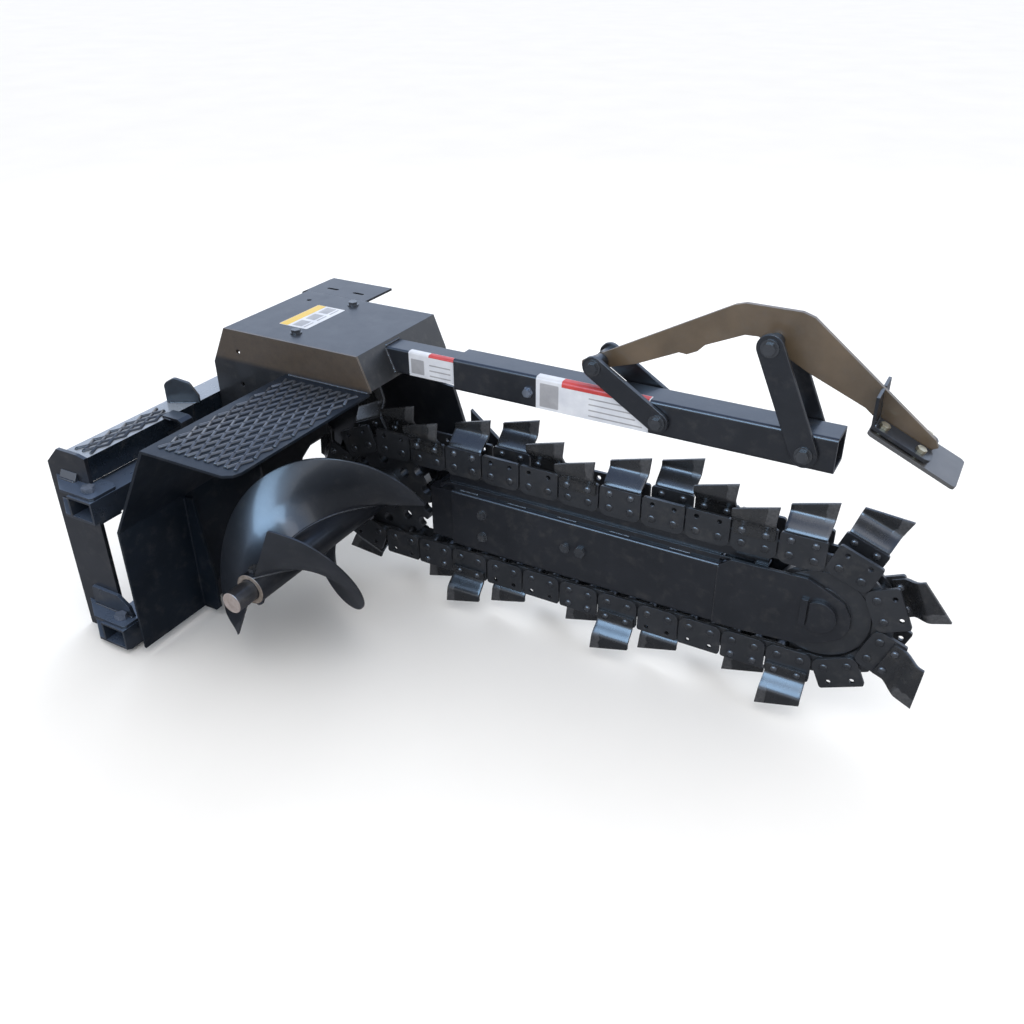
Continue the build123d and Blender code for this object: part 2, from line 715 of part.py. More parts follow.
# Inner wall that carries the drive: it continues forwards as a bent chain guard.
with BuildPart() as drive_wall:
    with BuildSketch(side(100)):
        Polygon((-255, 208), (42, 208), (97, 205), (121, 130), (139, 80), (139, -60), (100, -90), (-90, -90),
                (-255, 40), align=None)
        with Locations((0, 0)):
            Circle(34, mode=Mode.SUBTRACT)
    extrude(amount=-8)
    with BuildSketch(Plane.XY.offset(202)):
        Polygon((-255, 100), (40, 100), (40, 149.7), (-255, 149.7), align=None)
    extrude(amount=6)
    with BuildSketch(Plane.XY.offset(80)):
        Polygon((138.8, 100), (142, 100), (196, 118), (192, 125), (138.8, 108), align=None)
    extrude(amount=125)
    with BuildSketch(side(90)):
        Polygon((97, 206), (100, 206), (210, 80), (210, 210), (97, 210), align=None)
    extrude(amount=-60, mode=Mode.SUBTRACT)
save(drive_wall.part, "drive_wall")

with BuildPart() as cover_bolts:
    with BuildSketch(Plane.XY.offset(HOUSE_TOP)):
        with Locations((-163, -67), (-164, 123)):
            Circle(12)
    extrude(amount=2)
    with BuildSketch(Plane.XY.offset(HOUSE_TOP + 2)):
        with Locations((-163, -67), (-164, 123)):
            RegularPolygon(10, 6)
    extrude(amount=6)
    with BuildSketch(Plane.XY.offset(HOUSE_TOP - 14)):
        with Locations((-163, -67), (-164, 123)):
            Circle(5)
    extrude(amount=14)
save(cover_bolts.part, "cover_bolts")

# Bent guard over the motor and hose ports on the far side.
with BuildPart() as motor_guard:
    with BuildSketch(side(HOUSE_FAR + SHEET + 0.4)):
        Polygon((-156, 333), (-318, 333), (-330, 328), (-336, 316), (-340, 262), (-335, 262),
                (-331, 314), (-326, 324), (-317, 328), (-156, 328), align=None)
    extrude(amount=-100)
    with BuildSketch(Plane.XY.offset(HOUSE_TOP - SHEET)):
        with Locations((-270, 190), (-200, 190)):
            SlotOverall(30, 8)
    extrude(amount=SHEET, mode=Mode.SUBTRACT)
save(motor_guard.part, "motor_guard")

with BuildPart() as drive_motor:
    with BuildSketch(side(108.4)):
        Circle(62)
        Circle(SHAFT_R + 4, mode=Mode.SUBTRACT)
    extrude(amount=-24)
    with BuildSketch(side(132.4)):
        Circle(54)
    extrude(amount=-70)
    with BuildSketch(side(202.4)):
        RectangleRounded(88, 88, 12)
    extrude(amount=-44)
    with BuildSketch(side(246.4)):
        Circle(36)
    extrude(amount=-10)
    with BuildSketch(Plane.XY.offset(44)):
        with Locations((-22, 224), (22, 224)):
            Circle(15)
    extrude(amount=16)
    with BuildSketch(Plane.XY.offset(40)):
        with Locations((-22, 224), (22, 224)):
            Circle(10)
    extrude(amount=20, mode=Mode.SUBTRACT)
save(drive_motor.part, "drive_motor")

with BuildPart() as shaft_bearing:
    with BuildSketch(side(84)):
        Circle(58)
        Circle(SHAFT_R + 0.08, mode=Mode.SUBTRACT)
    extrude(amount=-15.6)
    with BuildSketch(side(58)):
        Circle(40)
        Circle(SHAFT_R + 0.08, mode=Mode.SUBTRACT)
    extrude(amount=-26)
save(shaft_bearing.part, "shaft_bearing")

with BuildPart() as motor_bolts:
    with BuildSketch(side(78)):
        with PolarLocations(50, 6, start_angle=30):
            RegularPolygon(8, 6)
    extrude(amount=-6)
save(motor_bolts.part, "bearing_bolts")

with BuildPart() as boom_mount:
    with BuildSketch(Plane.YZ.offset(119)):
        Polygon((-3.9, -60), (99.6, -60), (99.6, 36), (-3.9, 36), align=None)
    extrude(amount=20)
save(boom_mount.part, "boom_mount")

# ---------------------------------------------------------------- step and soil guard
with BuildPart() as guard_sheet:
    with BuildSketch(side(GUARD_NEAR)):
        Polygon((STEP_FRONT, STEP_Z), (STEP_REAR, STEP_Z), GUARD_BEND, GUARD_FOOT,
                (GUARD_FOOT[0] + SHEET, GUARD_FOOT[1]), (GUARD_BEND[0] + SHEET + 0.5, GUARD_BEND[1] - 1),
                (STEP_REAR + 4, STEP_Z - SHEET), (STEP_FRONT, STEP_Z - SHEET), align=None)
    extrude(amount=-(HOUSE_NEAR - 0.4 - GUARD_NEAR))
    with BuildSketch(Plane.XY.offset(STEP_Z - SHEET)):
        Polygon((STEP_FRONT + 1, GUARD_NEAR - 1), (STEP_FRONT + 1, GUARD_NEAR + 28),
                (STEP_FRONT - 5, GUARD_NEAR + 10), (STEP_FRONT - 22, GUARD_NEAR - 1), align=None)
    extrude(amount=SHEET, mode=Mode.SUBTRACT)
    with BuildSketch(Plane.YZ.offset(GUARD_FOOT[0] - 6)):
        Polygon((-330, -220), (-100, -220), (-100, 20), align=None)
    extrude(amount=30, mode=Mode.SUBTRACT)
save(guard_sheet.part, "guard_sheet")

with BuildPart() as guard_rib:
    with BuildSketch(side(-332)):
        Polygon((-272.5, -209), (-240, -209), (-228, -198), (-228, -120), (-250, 60), (-270.2, 60),
                align=None)
    extrude(amount=-6)
save(guard_rib.part, "guard_rib")


def tread_bars(length, width, pitch_l, pitch_w, bar):
    """Expanded-metal lattice: crossing bars trimmed to a rectangle, centred on the plane."""
    reach = length + width
    count_along = int(length / pitch_l) + int(width / pitch_w) + 3
    tilt = degrees(atan2(pitch_w, pitch_l))
    with BuildSketch() as lattice:
        with Locations(*[(pitch_l * (i - count_along / 2), 0) for i in range(count_along)]):
            Rectangle(reach * 2, bar, rotation=tilt)
            Rectangle(reach * 2, bar, rotation=-tilt)
        Rectangle(length, width, mode=Mode.INTERSECT)
    return lattice.sketch


with BuildPart() as step_tread:
    with BuildSketch(Plane(origin=(-54, -304, STEP_Z), x_dir=(0, 1, 0), z_dir=(0, 0, 1))):
        add(tread_bars(336, 176, 48, 24, 4))
    extrude(amount=4)
save(step_tread.part, "step_tread")

# ---------------------------------------------------------------- slide carriage
with BuildPart() as slide_sleeves:
    for sleeve_z in (UPPER_TUBE_Z, LOWER_TUBE_Z):
        for sleeve_y in (-300, -160):
            with BuildSketch(side(sleeve_y)):
                with Locations((TUBE_X, sleeve_z)):
                    Rectangle(TUBE_W + 13, TUBE_H + 13)
                    Rectangle(TUBE_W + 1, TUBE_H + 1, mode=Mode.SUBTRACT)
            extrude(amount=-70)
save(slide_sleeves.part, "slide_sleeves")

with BuildPart() as carriage_frame:
    for post_y in (-290, -150):
        with BuildSketch(side(post_y)):
            Polygon((-299, 119.7), (-285, 119.7), (-281, 60), (-281, -216), (-299, -216), align=None)
        extrude(amount=-50)
    with BuildSketch(side(-99.6)):
        Polygon((-298, 60), (-256, 60), (-256, 12), (-298, 12), align=None)
        Polygon((-292, 54), (-262, 54), (-262, 18), (-292, 18), align=None, mode=Mode.SUBTRACT)
    extrude(amount=-205.6)
save(carriage_frame.part, "carriage_frame")

# ---------------------------------------------------------------- loader-side frame
with BuildPart() as slide_tubes:
    with BuildSketch(side(TUBE_NEAR)):
        with Locations((TUBE_X, UPPER_TUBE_Z), (TUBE_X, LOWER_TUBE_Z)):
            Rectangle(TUBE_W, TUBE_H)
            Rectangle(TUBE_W - 9, TUBE_H - 9, mode=Mode.SUBTRACT)
    extrude(amount=-(TUBE_FAR - TUBE_NEAR))
save(slide_tubes.part, "slide_tubes")

END_OUTLINE = [
    (FRAME_REAR, FRAME_FOOT), (FRAME_FRONT, FRAME_FOOT), (FRAME_FRONT, FRAME_TOP - 4),
    (FRAME_FRONT - 22, FRAME_TOP), (FRAME_REAR + 35, FRAME_TOP), (FRAME_REAR, FRAME_TOP - 34),
]

with BuildPart() as end_plates:
    with BuildSketch(side(PLATE_NEAR), side(PLATE_FAR - END_T)):
        Polygon(*END_OUTLINE, align=None)
        with Locations((TUBE_X, UPPER_TUBE_Z), (TUBE_X, LOWER_TUBE_Z)):
            Rectangle(TUBE_W + 0.6, TUBE_H + 0.6, mode=Mode.SUBTRACT)
    extrude(amount=-END_T)
save(end_plates.part, "end_plates")

with BuildPart() as top_channel:
    with BuildSketch(side(PLATE_NEAR + END_T + 0.2)):
        Polygon((-420, CHANNEL_TOP), (-357, CHANNEL_TOP), (-357, 134), (-362, 134),
                (-362, CHANNEL_TOP - 5), (-415, CHANNEL_TOP - 5), (-415, 134), (-420, 134), align=None)
    extrude(amount=-(PLATE_FAR - PLATE_NEAR - 2 * END_T - 0.4))
save(top_channel.part, "top_channel")

with BuildPart() as channel_tread:
    with BuildSketch(Plane(origin=(-385, -344, CHANNEL_TOP), x_dir=(0, 1, 0), z_dir=(0, 0, 1))):
        add(tread_bars(206, 42, 40, 20, 4))
    extrude(amount=4)
save(channel_tread.part, "channel_tread")

with BuildPart() as ear_plate:
    with BuildSketch(Plane(origin=(-385, -185, 0), x_dir=(0.89, 0.46, 0), z_dir=(0.46, -0.89, 0))):
        Polygon((-34, CHANNEL_TOP + 0.2), (34, CHANNEL_TOP + 0.2), (34, 198), (18, 227), (-12, 238),
                (-34, 226), align=None)
        fillet(vertices().filter_by(lambda v: v.Y > 194), radius=10)
    extrude(amount=8)
save(ear_plate.part, "ear_plate")

with BuildPart() as hose_hook:
    with BuildSketch(side(-268)):
        top = CHANNEL_TOP + 6.2
        Polygon((-362.5, top), (-320, top), (-311, 185), (-308, 176), (-308, 161), (-311, 153), (-319, 148),
                (-356.8, 148), (-356.8, 154), (-321, 154), (-315, 158), (-314, 163), (-314, 174),
                (-316, 181), (-322, top - 6), (-362.5, top - 6), align=None)
    extrude(amount=-30)
save(hose_hook.part, "hose_hook")

CLAMP_OUTLINE = [
    (-449, -PLATE_NEAR + 0.4), (-392, 510), (-314, 510), (-308, 504), (-308, 452), (-322, 444),
    (FRAME_FRONT + 0.4, 444), (FRAME_FRONT + 0.4, -PLATE_NEAR + 0.4),
]
FAR_SHIFT = PLATE_FAR + PLATE_NEAR
NEAR_CLAMP = [(x, -y) for x, y in CLAMP_OUTLINE]
FAR_CLAMP = [(x, y + FAR_SHIFT) for x, y in CLAMP_OUTLINE]
GUSSET = [
    (-425, LOWER_TUBE_Z + 29), (-316, LOWER_TUBE_Z + 29), (-322, LOWER_TUBE_Z + 52),
    (-350, LOWER_TUBE_Z + 72), (-422, LOWER_TUBE_Z + 72),
]

with BuildPart() as clamp_plates:
    for tube_z in (UPPER_TUBE_Z, LOWER_TUBE_Z):
        for plate_z in (tube_z + TUBE_H / 2 + 0.2, tube_z - TUBE_H / 2 - 0.2 - CLAMP_T):
            with BuildSketch(Plane.XY.offset(plate_z)):
                Polygon(*NEAR_CLAMP, align=None)
                Polygon(*FAR_CLAMP, align=None)
            extrude(amount=CLAMP_T)
    with BuildSketch(side(PLATE_NEAR - 8), side(PLATE_FAR + 0.4)):
        Polygon(*GUSSET, align=None)
    extrude(amount=-7.6)
    with BuildSketch(Plane.YZ.offset(-430)):
        foot = UPPER_TUBE_Z + 29
        Polygon((PLATE_NEAR - 0.4, foot), (PLATE_NEAR - 0.4, foot + 16), (PLATE_NEAR - 9, foot), align=None)
        Polygon((PLATE_FAR + 0.4, foot), (PLATE_FAR + 0.4, foot + 16), (PLATE_FAR + 9, foot), align=None)
    extrude(amount=43)
save(clamp_plates.part, "clamp_plates")

# Bolts that pinch the slide tubes between the clamp plates.
with BuildPart() as clamp_bolts:
    for tube_z in (UPPER_TUBE_Z, LOWER_TUBE_Z):
        spots = [(-337, -489.5), (-337, 489.5 + FAR_SHIFT)]
        with BuildSketch(Plane.XY.offset(tube_z + TUBE_H / 2 + CLAMP_T + 0.4)):
            with Locations(*spots):
                RegularPolygon(12.5, 6)
        extrude(amount=10)
        with BuildSketch(Plane.XY.offset(tube_z - TUBE_H / 2 - CLAMP_T - 8.4)):
            with Locations(*spots):
                RegularPolygon(12, 6)
        extrude(amount=8)
save(clamp_bolts.part, "clamp_bolts")
print("done")
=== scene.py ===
"""Looks of the chain trencher attachment: materials, fine meshes, lights and camera."""
import json
from math import atan2, cos, hypot, pi, radians, sin

import bmesh
import bpy
from mathutils import Matrix, Vector


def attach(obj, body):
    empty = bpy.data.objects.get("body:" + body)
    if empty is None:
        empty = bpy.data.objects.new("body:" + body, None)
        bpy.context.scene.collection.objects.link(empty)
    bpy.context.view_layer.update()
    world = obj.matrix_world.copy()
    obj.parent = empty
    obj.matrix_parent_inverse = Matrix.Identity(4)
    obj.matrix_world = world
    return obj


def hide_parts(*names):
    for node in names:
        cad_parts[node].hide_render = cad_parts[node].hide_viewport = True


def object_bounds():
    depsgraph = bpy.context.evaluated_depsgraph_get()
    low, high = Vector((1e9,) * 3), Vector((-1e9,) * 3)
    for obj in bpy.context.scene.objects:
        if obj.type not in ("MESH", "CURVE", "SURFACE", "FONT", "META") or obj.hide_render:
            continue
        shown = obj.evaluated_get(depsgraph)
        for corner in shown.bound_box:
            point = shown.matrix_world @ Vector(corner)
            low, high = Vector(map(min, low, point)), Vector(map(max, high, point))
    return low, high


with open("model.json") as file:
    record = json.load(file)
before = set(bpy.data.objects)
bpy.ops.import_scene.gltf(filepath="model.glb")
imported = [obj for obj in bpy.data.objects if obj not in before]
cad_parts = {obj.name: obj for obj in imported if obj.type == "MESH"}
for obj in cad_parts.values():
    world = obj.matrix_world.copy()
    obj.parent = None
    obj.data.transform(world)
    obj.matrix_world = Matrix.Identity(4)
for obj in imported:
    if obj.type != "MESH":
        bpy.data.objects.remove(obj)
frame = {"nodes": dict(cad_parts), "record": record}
cad_low, cad_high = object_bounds()

# Lengths below are in millimetres, with Y measured from the middle plane of the crumber bar.
MM = 0.001
BAR_PLANE = 478.5
PITCH = 42.0
WHEEL_TEETH = 16
CENTRES = 22 * PITCH
PHASE = 9.46
PIN_CIRCLE = PITCH / (2 * sin(pi / WHEEL_TEETH))
CHAIN_Y = -18.5
OUTER_Y = 25.5
PLATE_T = 6.0
TOOTH_T = 6.0
BOLT_UP = 30.0
BARE_LINK = 14
AUGER_END = -453.0
AUGER_START = -109.0
AUGER_LEAD = 536.0
AUGER_R = 160.0
FLIGHT_STARTS = (66, 246)
FLIGHT_TURN = 2 * pi * (AUGER_START - AUGER_END) / AUGER_LEAD
STEP_Z = 262.0
CHANNEL_TOP = 184.0
LABEL_LEVEL = 333.05
BAR_CENTRE_Z = 298.7
INNER_BAR_HALF = 25.4
OUTER_BAR_HALF = 31.75


# ---------------------------------------------------------------- node materials
class Nodes:
    """Small helper that builds one procedural material."""

    def __init__(self, name):
        self.mat = bpy.data.materials.new(name)
        self.mat.use_nodes = True
        self.tree = self.mat.node_tree
        self.shader = self.tree.nodes["Principled BSDF"]
        coords = self.add("ShaderNodeTexCoord")
        self.place = coords.outputs["Object"]

    def add(self, kind, **values):
        node = self.tree.nodes.new(kind)
        for key, value in values.items():
            setattr(node, key, value)
        return node

    def join(self, out, to):
        self.tree.links.new(out, to)

    def noise(self, scale, detail=4.0, rough=0.55):
        node = self.add("ShaderNodeTexNoise")
        node.inputs["Scale"].default_value = scale
        node.inputs["Detail"].default_value = detail
        node.inputs["Roughness"].default_value = rough
        self.join(self.place, node.inputs["Vector"])
        return node.outputs["Fac"]

    def ramp(self, fac, stops):
        node = self.add("ShaderNodeValToRGB")
        elements = node.color_ramp.elements
        while len(elements) < len(stops):
            elements.new(0.5)
        for element, (at, color) in zip(elements, stops):
            element.position = at
            element.color = (*color, 1.0)
        self.join(fac, node.inputs["Fac"])
        return node.outputs["Color"]

    def mix(self, fac, a, b):
        node = self.add("ShaderNodeMix", data_type="RGBA")
        self.join(fac, node.inputs["Factor"])
        for value, socket in ((a, node.inputs[6]), (b, node.inputs[7])):
            if isinstance(value, tuple):
                socket.default_value = (*value, 1.0)
            else:
                self.join(value, socket)
        return node.outputs[2]

    def spread(self, fac, low, high):
        node = self.add("ShaderNodeMapRange")
        node.inputs["To Min"].default_value = low
        node.inputs["To Max"].default_value = high
        self.join(fac, node.inputs["Value"])
        return node.outputs["Result"]

    def bump(self, height, strength, distance, round_edges=0.0):
        node = self.add("ShaderNodeBump")
        node.inputs["Strength"].default_value = strength
        node.inputs["Distance"].default_value = distance
        self.join(height, node.inputs["Height"])
        if round_edges:
            bevel = self.add("ShaderNodeBevel", samples=6)
            bevel.inputs["Radius"].default_value = round_edges
            self.join(bevel.outputs["Normal"], node.inputs["Normal"])
        self.join(node.outputs["Normal"], self.shader.inputs["Normal"])


def painted(name, dark, light, gloss=(0.24, 0.40), dust=0.25, edge=0.0012, peel=0.10, coat=0.3):
    """Sprayed black paint: slight colour drift, orange peel, thin dust and soft edges."""
    m = Nodes(name)
    drift = m.ramp(m.noise(9.0, 6.0, 0.6), [(0.3, dark), (0.7, light)])
    dust_mask = m.ramp(m.noise(38.0, 8.0, 0.7), [(0.52, (0, 0, 0)), (0.78, (dust, dust, dust))])
    m.join(m.mix(dust_mask, drift, (0.10, 0.095, 0.088)), m.shader.inputs["Base Color"])
    m.join(m.spread(m.noise(26.0, 6.0, 0.62), *gloss), m.shader.inputs["Roughness"])
    m.bump(m.noise(420.0, 3.0, 0.5), peel, 0.0004, edge)
    m.shader.inputs["Specular IOR Level"].default_value = 0.6
    m.shader.inputs["Coat Weight"].default_value = coat
    m.shader.inputs["Coat Roughness"].default_value = 0.14
    return m


def metal(name, dark, light, gloss=(0.25, 0.45), scale=60.0, shine=0.9):
    """Bare or plated metal with fine marks."""
    m = Nodes(name)
    grain = m.noise(scale, 6.0, 0.65)
    m.join(m.ramp(grain, [(0.3, dark), (0.72, light)]), m.shader.inputs["Base Color"])
    m.join(m.spread(m.noise(scale * 2.2, 4.0, 0.6), *gloss), m.shader.inputs["Roughness"])
    m.bump(grain, 0.25, 0.0003, 0.0006)
    m.shader.inputs["Metallic"].default_value = shine
    return m


def tooth_paint():
    """Black paint, with rough hard-facing along the leading edge of each blade."""
    m = painted("tooth_paint", (0.010, 0.011, 0.013), (0.022, 0.023, 0.025), (0.20, 0.34), 0.25, 0.0004)
    blade = m.add("ShaderNodeTexCoord").outputs["UV"]
    split = m.add("ShaderNodeSeparateXYZ")
    m.join(blade, split.inputs[0])
    wander = m.add("ShaderNodeMath", operation="MULTIPLY_ADD")
    m.join(m.noise(60.0, 2.0, 0.5), wander.inputs[0])
    wander.inputs[1].default_value = 0.16
    m.join(split.outputs["X"], wander.inputs[2])
    lead = m.add("ShaderNodeMapRange", interpolation_type="SMOOTHSTEP")
    lead.inputs["From Min"].default_value = 0.80
    lead.inputs["From Max"].default_value = 0.83
    m.join(wander.outputs[0], lead.inputs["Value"])
    high = m.add("ShaderNodeMapRange", interpolation_type="SMOOTHSTEP")
    high.inputs["From Min"].default_value = 0.58
    high.inputs["From Max"].default_value = 0.66
    m.join(split.outputs["Y"], high.inputs["Value"])
    facing = m.add("ShaderNodeMath", operation="MULTIPLY")
    m.join(lead.outputs["Result"], facing.inputs[0])
    m.join(high.outputs["Result"], facing.inputs[1])
    grain = m.noise(230.0, 6.0, 0.72)
    base = m.shader.inputs["Base Color"].links[0].from_socket
    crust = m.ramp(grain, [(0.3, (0.02, 0.021, 0.024)), (0.7, (0.075, 0.076, 0.08))])
    m.join(m.mix(facing.outputs[0], base, crust), m.shader.inputs["Base Color"])
    rough = m.add("ShaderNodeMix", data_type="FLOAT")
    m.join(facing.outputs[0], rough.inputs[0])
    m.join(m.shader.inputs["Roughness"].links[0].from_socket, rough.inputs[2])
    rough.inputs[3].default_value = 0.42
    m.join(rough.outputs[0], m.shader.inputs["Roughness"])
    lumps = m.add("ShaderNodeMath", operation="MULTIPLY")
    m.join(facing.outputs[0], lumps.inputs[0])
    m.join(grain, lumps.inputs[1])
    second = m.add("ShaderNodeBump")
    second.inputs["Strength"].default_value = 0.55
    second.inputs["Distance"].default_value = 0.0012
    m.join(lumps.outputs[0], second.inputs["Height"])
    m.join(m.shader.inputs["Normal"].links[0].from_socket, second.inputs["Normal"])
    m.join(second.outputs["Normal"], m.shader.inputs["Normal"])
    return m


def sheen_and_wear_above(m, low, high, pale, amount):
    """Paint that turns paler, unevenly, between two heights; the paler part is painted reflection, with some
    wear on strand tops.
    """
    split = m.add("ShaderNodeSeparateXYZ")
    m.join(m.place, split.inputs[0])
    top = m.add("ShaderNodeMapRange")
    top.inputs["From Min"].default_value = low
    top.inputs["From Max"].default_value = high
    top.inputs["To Max"].default_value = amount
    m.join(split.outputs["Z"], top.inputs["Value"])
    paler_share = m.add("ShaderNodeMath", operation="MULTIPLY")
    m.join(top.outputs["Result"], paler_share.inputs[0])
    m.join(m.spread(m.noise(70.0, 6.0, 0.7), 0.4, 1.2), paler_share.inputs[1])
    base = m.shader.inputs["Base Color"].links[0].from_socket
    m.join(m.mix(paler_share.outputs[0], base, pale), m.shader.inputs["Base Color"])
    return m


def shaft_paint():
    """Painted shaft with a pale machined end face."""
    m = painted("shaft_paint", (0.012, 0.012, 0.014), (0.04, 0.04, 0.045), (0.26, 0.46), 0.5, 0.0006)
    split = m.add("ShaderNodeSeparateXYZ")
    m.join(m.place, split.inputs[0])
    face = m.add("ShaderNodeMapRange")
    face.inputs["From Min"].default_value = -0.0226
    face.inputs["From Max"].default_value = -0.0230
    m.join(split.outputs["Y"], face.inputs["Value"])
    base = m.shader.inputs["Base Color"].links[0].from_socket
    turned = m.ramp(m.noise(90.0, 6.0, 0.7), [(0.3, (0.20, 0.165, 0.155)), (0.7, (0.34, 0.295, 0.28))])
    m.join(m.mix(face.outputs["Result"], base, turned), m.shader.inputs["Base Color"])
    return m


def painted_sky_top(m, color, amount):
    """Painted sky reflection: faces that look up are mixed towards a paler colour; the rest keeps the plain
    paint.
    """
    place = m.add("ShaderNodeNewGeometry")
    split = m.add("ShaderNodeSeparateXYZ")
    m.join(place.outputs["Normal"], split.inputs["Vector"])
    up = m.add("ShaderNodeMapRange")
    up.inputs["From Min"].default_value = 0.8
    up.inputs["From Max"].default_value = 0.98
    up.inputs["To Max"].default_value = amount
    m.join(split.outputs["Z"], up.inputs["Value"])
    base = m.shader.inputs["Base Color"].links[0].from_socket
    m.join(m.mix(up.outputs["Result"], base, color), m.shader.inputs["Base Color"])
    return m


def ink(name, color, second):
    """Printed film: even colour with slight fading and a soft sheen."""
    m = Nodes(name)
    m.join(m.ramp(m.noise(30.0, 5.0, 0.6), [(0.3, color), (0.75, second)]), m.shader.inputs["Base Color"])
    m.join(m.spread(m.noise(55.0, 4.0), 0.28, 0.42), m.shader.inputs["Roughness"])
    m.bump(m.noise(300.0, 2.0), 0.05, 0.0002)
    return m.mat


def shaded_paint():
    """Nearly black, dull paint of the soil guard: its extra darkness is painted shade from the surroundings.
    """
    m = painted("black_paint_painted_shade", (0.0018, 0.004, 0.008), (0.004, 0.008, 0.015), (0.42, 0.6), 0.2)
    m.shader.inputs["Specular IOR Level"].default_value = 0.22
    return m


def side_paint():
    """Black paint below the step; above it, a tan painted reflection of the ground."""
    m = painted("black_paint_side", (0.006, 0.0065, 0.008), (0.012, 0.0125, 0.015), (0.3, 0.5), 0.3)
    return sheen_and_wear_above(m, 0.262, 0.272, (0.085, 0.062, 0.041), 0.92)


def tread_paint():
    """Black paint, paler and bluish on the tops of the step's strands: partly worn paint, partly a painted sky
    reflection.
    """
    m = painted("tread_paint", (0.014, 0.016, 0.020), (0.03, 0.032, 0.037), (0.22, 0.4), 0.4, 0.0, 0.3)
    return sheen_and_wear_above(m, 0.2635, 0.2665, (0.085, 0.10, 0.135), 0.7)


def frame_paint():
    """Black paint of tubes and clamps; faces that look up get a bluish painted sky reflection."""
    m = painted("black_paint_frame", (0.010, 0.014, 0.022), (0.020, 0.027, 0.040), (0.22, 0.36), 0.4, coat=0.4)
    return painted_sky_top(m, (0.085, 0.12, 0.19), 0.6)


def cover_paint():
    """Black paint of the drive housing; faces that look up get a slightly paler painted sky reflection."""
    m = painted("black_paint_top", (0.010, 0.011, 0.013), (0.020, 0.021, 0.023), (0.3, 0.46), 0.4, coat=0.15)
    return painted_sky_top(m, (0.030, 0.033, 0.040), 0.5)


def channel_paint():
    """Black paint of the cross channel; faces that look up get a pale painted sky reflection."""
    m = painted("black_paint_rail", (0.004, 0.007, 0.012), (0.010, 0.015, 0.022), (0.2, 0.34), 0.4, coat=0.5)
    return painted_sky_top(m, (0.30, 0.33, 0.38), 0.75)


PAINT = painted("black_paint", (0.006, 0.007, 0.010), (0.012, 0.0135, 0.018)).mat
PAINT_SHADED = shaded_paint().mat
PAINT_SKY = frame_paint().mat
PAINT_TOP = cover_paint().mat
PAINT_SIDE = side_paint().mat
PAINT_CHANNEL = channel_paint().mat
# The arm's warm brown is a painted reflection of the tan ground in front of it.
PAINT_ARM_GROUND_REFLECTION = painted("arm_painted_ground_reflection", (0.070, 0.050, 0.029), (0.13, 0.093, 0.056), (0.3, 0.46), 0.3).mat
PAINT_FLIGHT = painted(
    "flight_paint", (0.008, 0.010, 0.014), (0.016, 0.019, 0.026), (0.30, 0.42), 0.2, 0.0006, coat=0.5).mat
PAINT_CHAIN = painted(
    "chain_paint", (0.010, 0.0115, 0.014), (0.022, 0.024, 0.029), (0.26, 0.44), 0.3, 0.0009).mat
PAINT_TOOTH = tooth_paint().mat
PAINT_TREAD = tread_paint().mat
BOLT_DARK = painted(
    "bolt_paint", (0.016, 0.018, 0.022), (0.045, 0.05, 0.06), (0.16, 0.32), 0.3, 0.0005).mat
BOLT_WORN = metal("worn_bolt", (0.10, 0.12, 0.15), (0.24, 0.27, 0.33), (0.26, 0.44), shine=0.6).mat
WELD = painted(
    "weld_paint", (0.02, 0.022, 0.026), (0.06, 0.065, 0.075), (0.16, 0.3), 0.2, 0.0, 0.3, 0.6).mat
WELD_PAINTED = painted(
    "weld_frame", (0.014, 0.015, 0.018), (0.04, 0.042, 0.048), (0.18, 0.32), 0.3, 0.0, 0.3).mat
CASTING = painted(
    "motor_paint", (0.014, 0.014, 0.016), (0.03, 0.03, 0.032), (0.4, 0.6), 0.3, 0.002, 0.9).mat
SHAFT = shaft_paint().mat
RAW_CUT = metal("raw_cut", (0.16, 0.13, 0.11), (0.42, 0.35, 0.29), (0.4, 0.6), shine=0.5).mat
BLADE = painted("blade_paint", (0.05, 0.05, 0.052), (0.085, 0.085, 0.088), (0.3, 0.5), 0.5).mat
ZINC = metal("yellow_zinc", (0.42, 0.34, 0.20), (0.68, 0.60, 0.44), (0.22, 0.42), scale=90.0).mat
LABEL_WHITE = ink("label_white", (0.52, 0.55, 0.62), (0.66, 0.69, 0.75))
LABEL_YELLOW = ink("label_yellow", (0.62, 0.42, 0.05), (0.74, 0.52, 0.08))
LABEL_RED = ink("label_red", (0.42, 0.03, 0.03), (0.55, 0.06, 0.05))
LABEL_INK = ink("label_grey", (0.26, 0.27, 0.30), (0.36, 0.37, 0.40))

SLOT_MATERIALS = {
    "black_paint": PAINT, "tread_paint": PAINT_TREAD, "chain_paint": PAINT_CHAIN,
    "tooth_paint": PAINT_TOOTH, "bolt_black": BOLT_DARK, "bolt_zinc": ZINC, "bare_steel": SHAFT,
    "blade_steel": BLADE, "motor_iron": CASTING,
}
SLOT_OF = {s["node"]: s["material_slot"] for s in frame["record"]["subparts"]}
OWN_MATERIAL = {
    "crumber_arm": PAINT_ARM_GROUND_REFLECTION, "housing_cover": PAINT_TOP, "top_channel": PAINT_CHANNEL,
    "motor_guard": PAINT_TOP, "clamp_plates": PAINT_SKY, "crumber_lock_screw": BOLT_WORN,
    "housing_side_near": PAINT_SIDE, "slide_tubes": PAINT_SKY, "clamp_bolts": BOLT_WORN,
    "guard_sheet": PAINT_SHADED, "guard_rib": PAINT_SHADED,
}

for node_name, node_object in frame["nodes"].items():
    chosen = OWN_MATERIAL.get(node_name, SLOT_MATERIALS[SLOT_OF[node_name]])
    for material_slot in node_object.material_slots:
        material_slot.material = chosen


# ---------------------------------------------------------------- mesh helpers
def spot(x, y, z):
    """Point of the frame, in metres."""
    return Vector((x, y + BAR_PLANE, z)) * MM


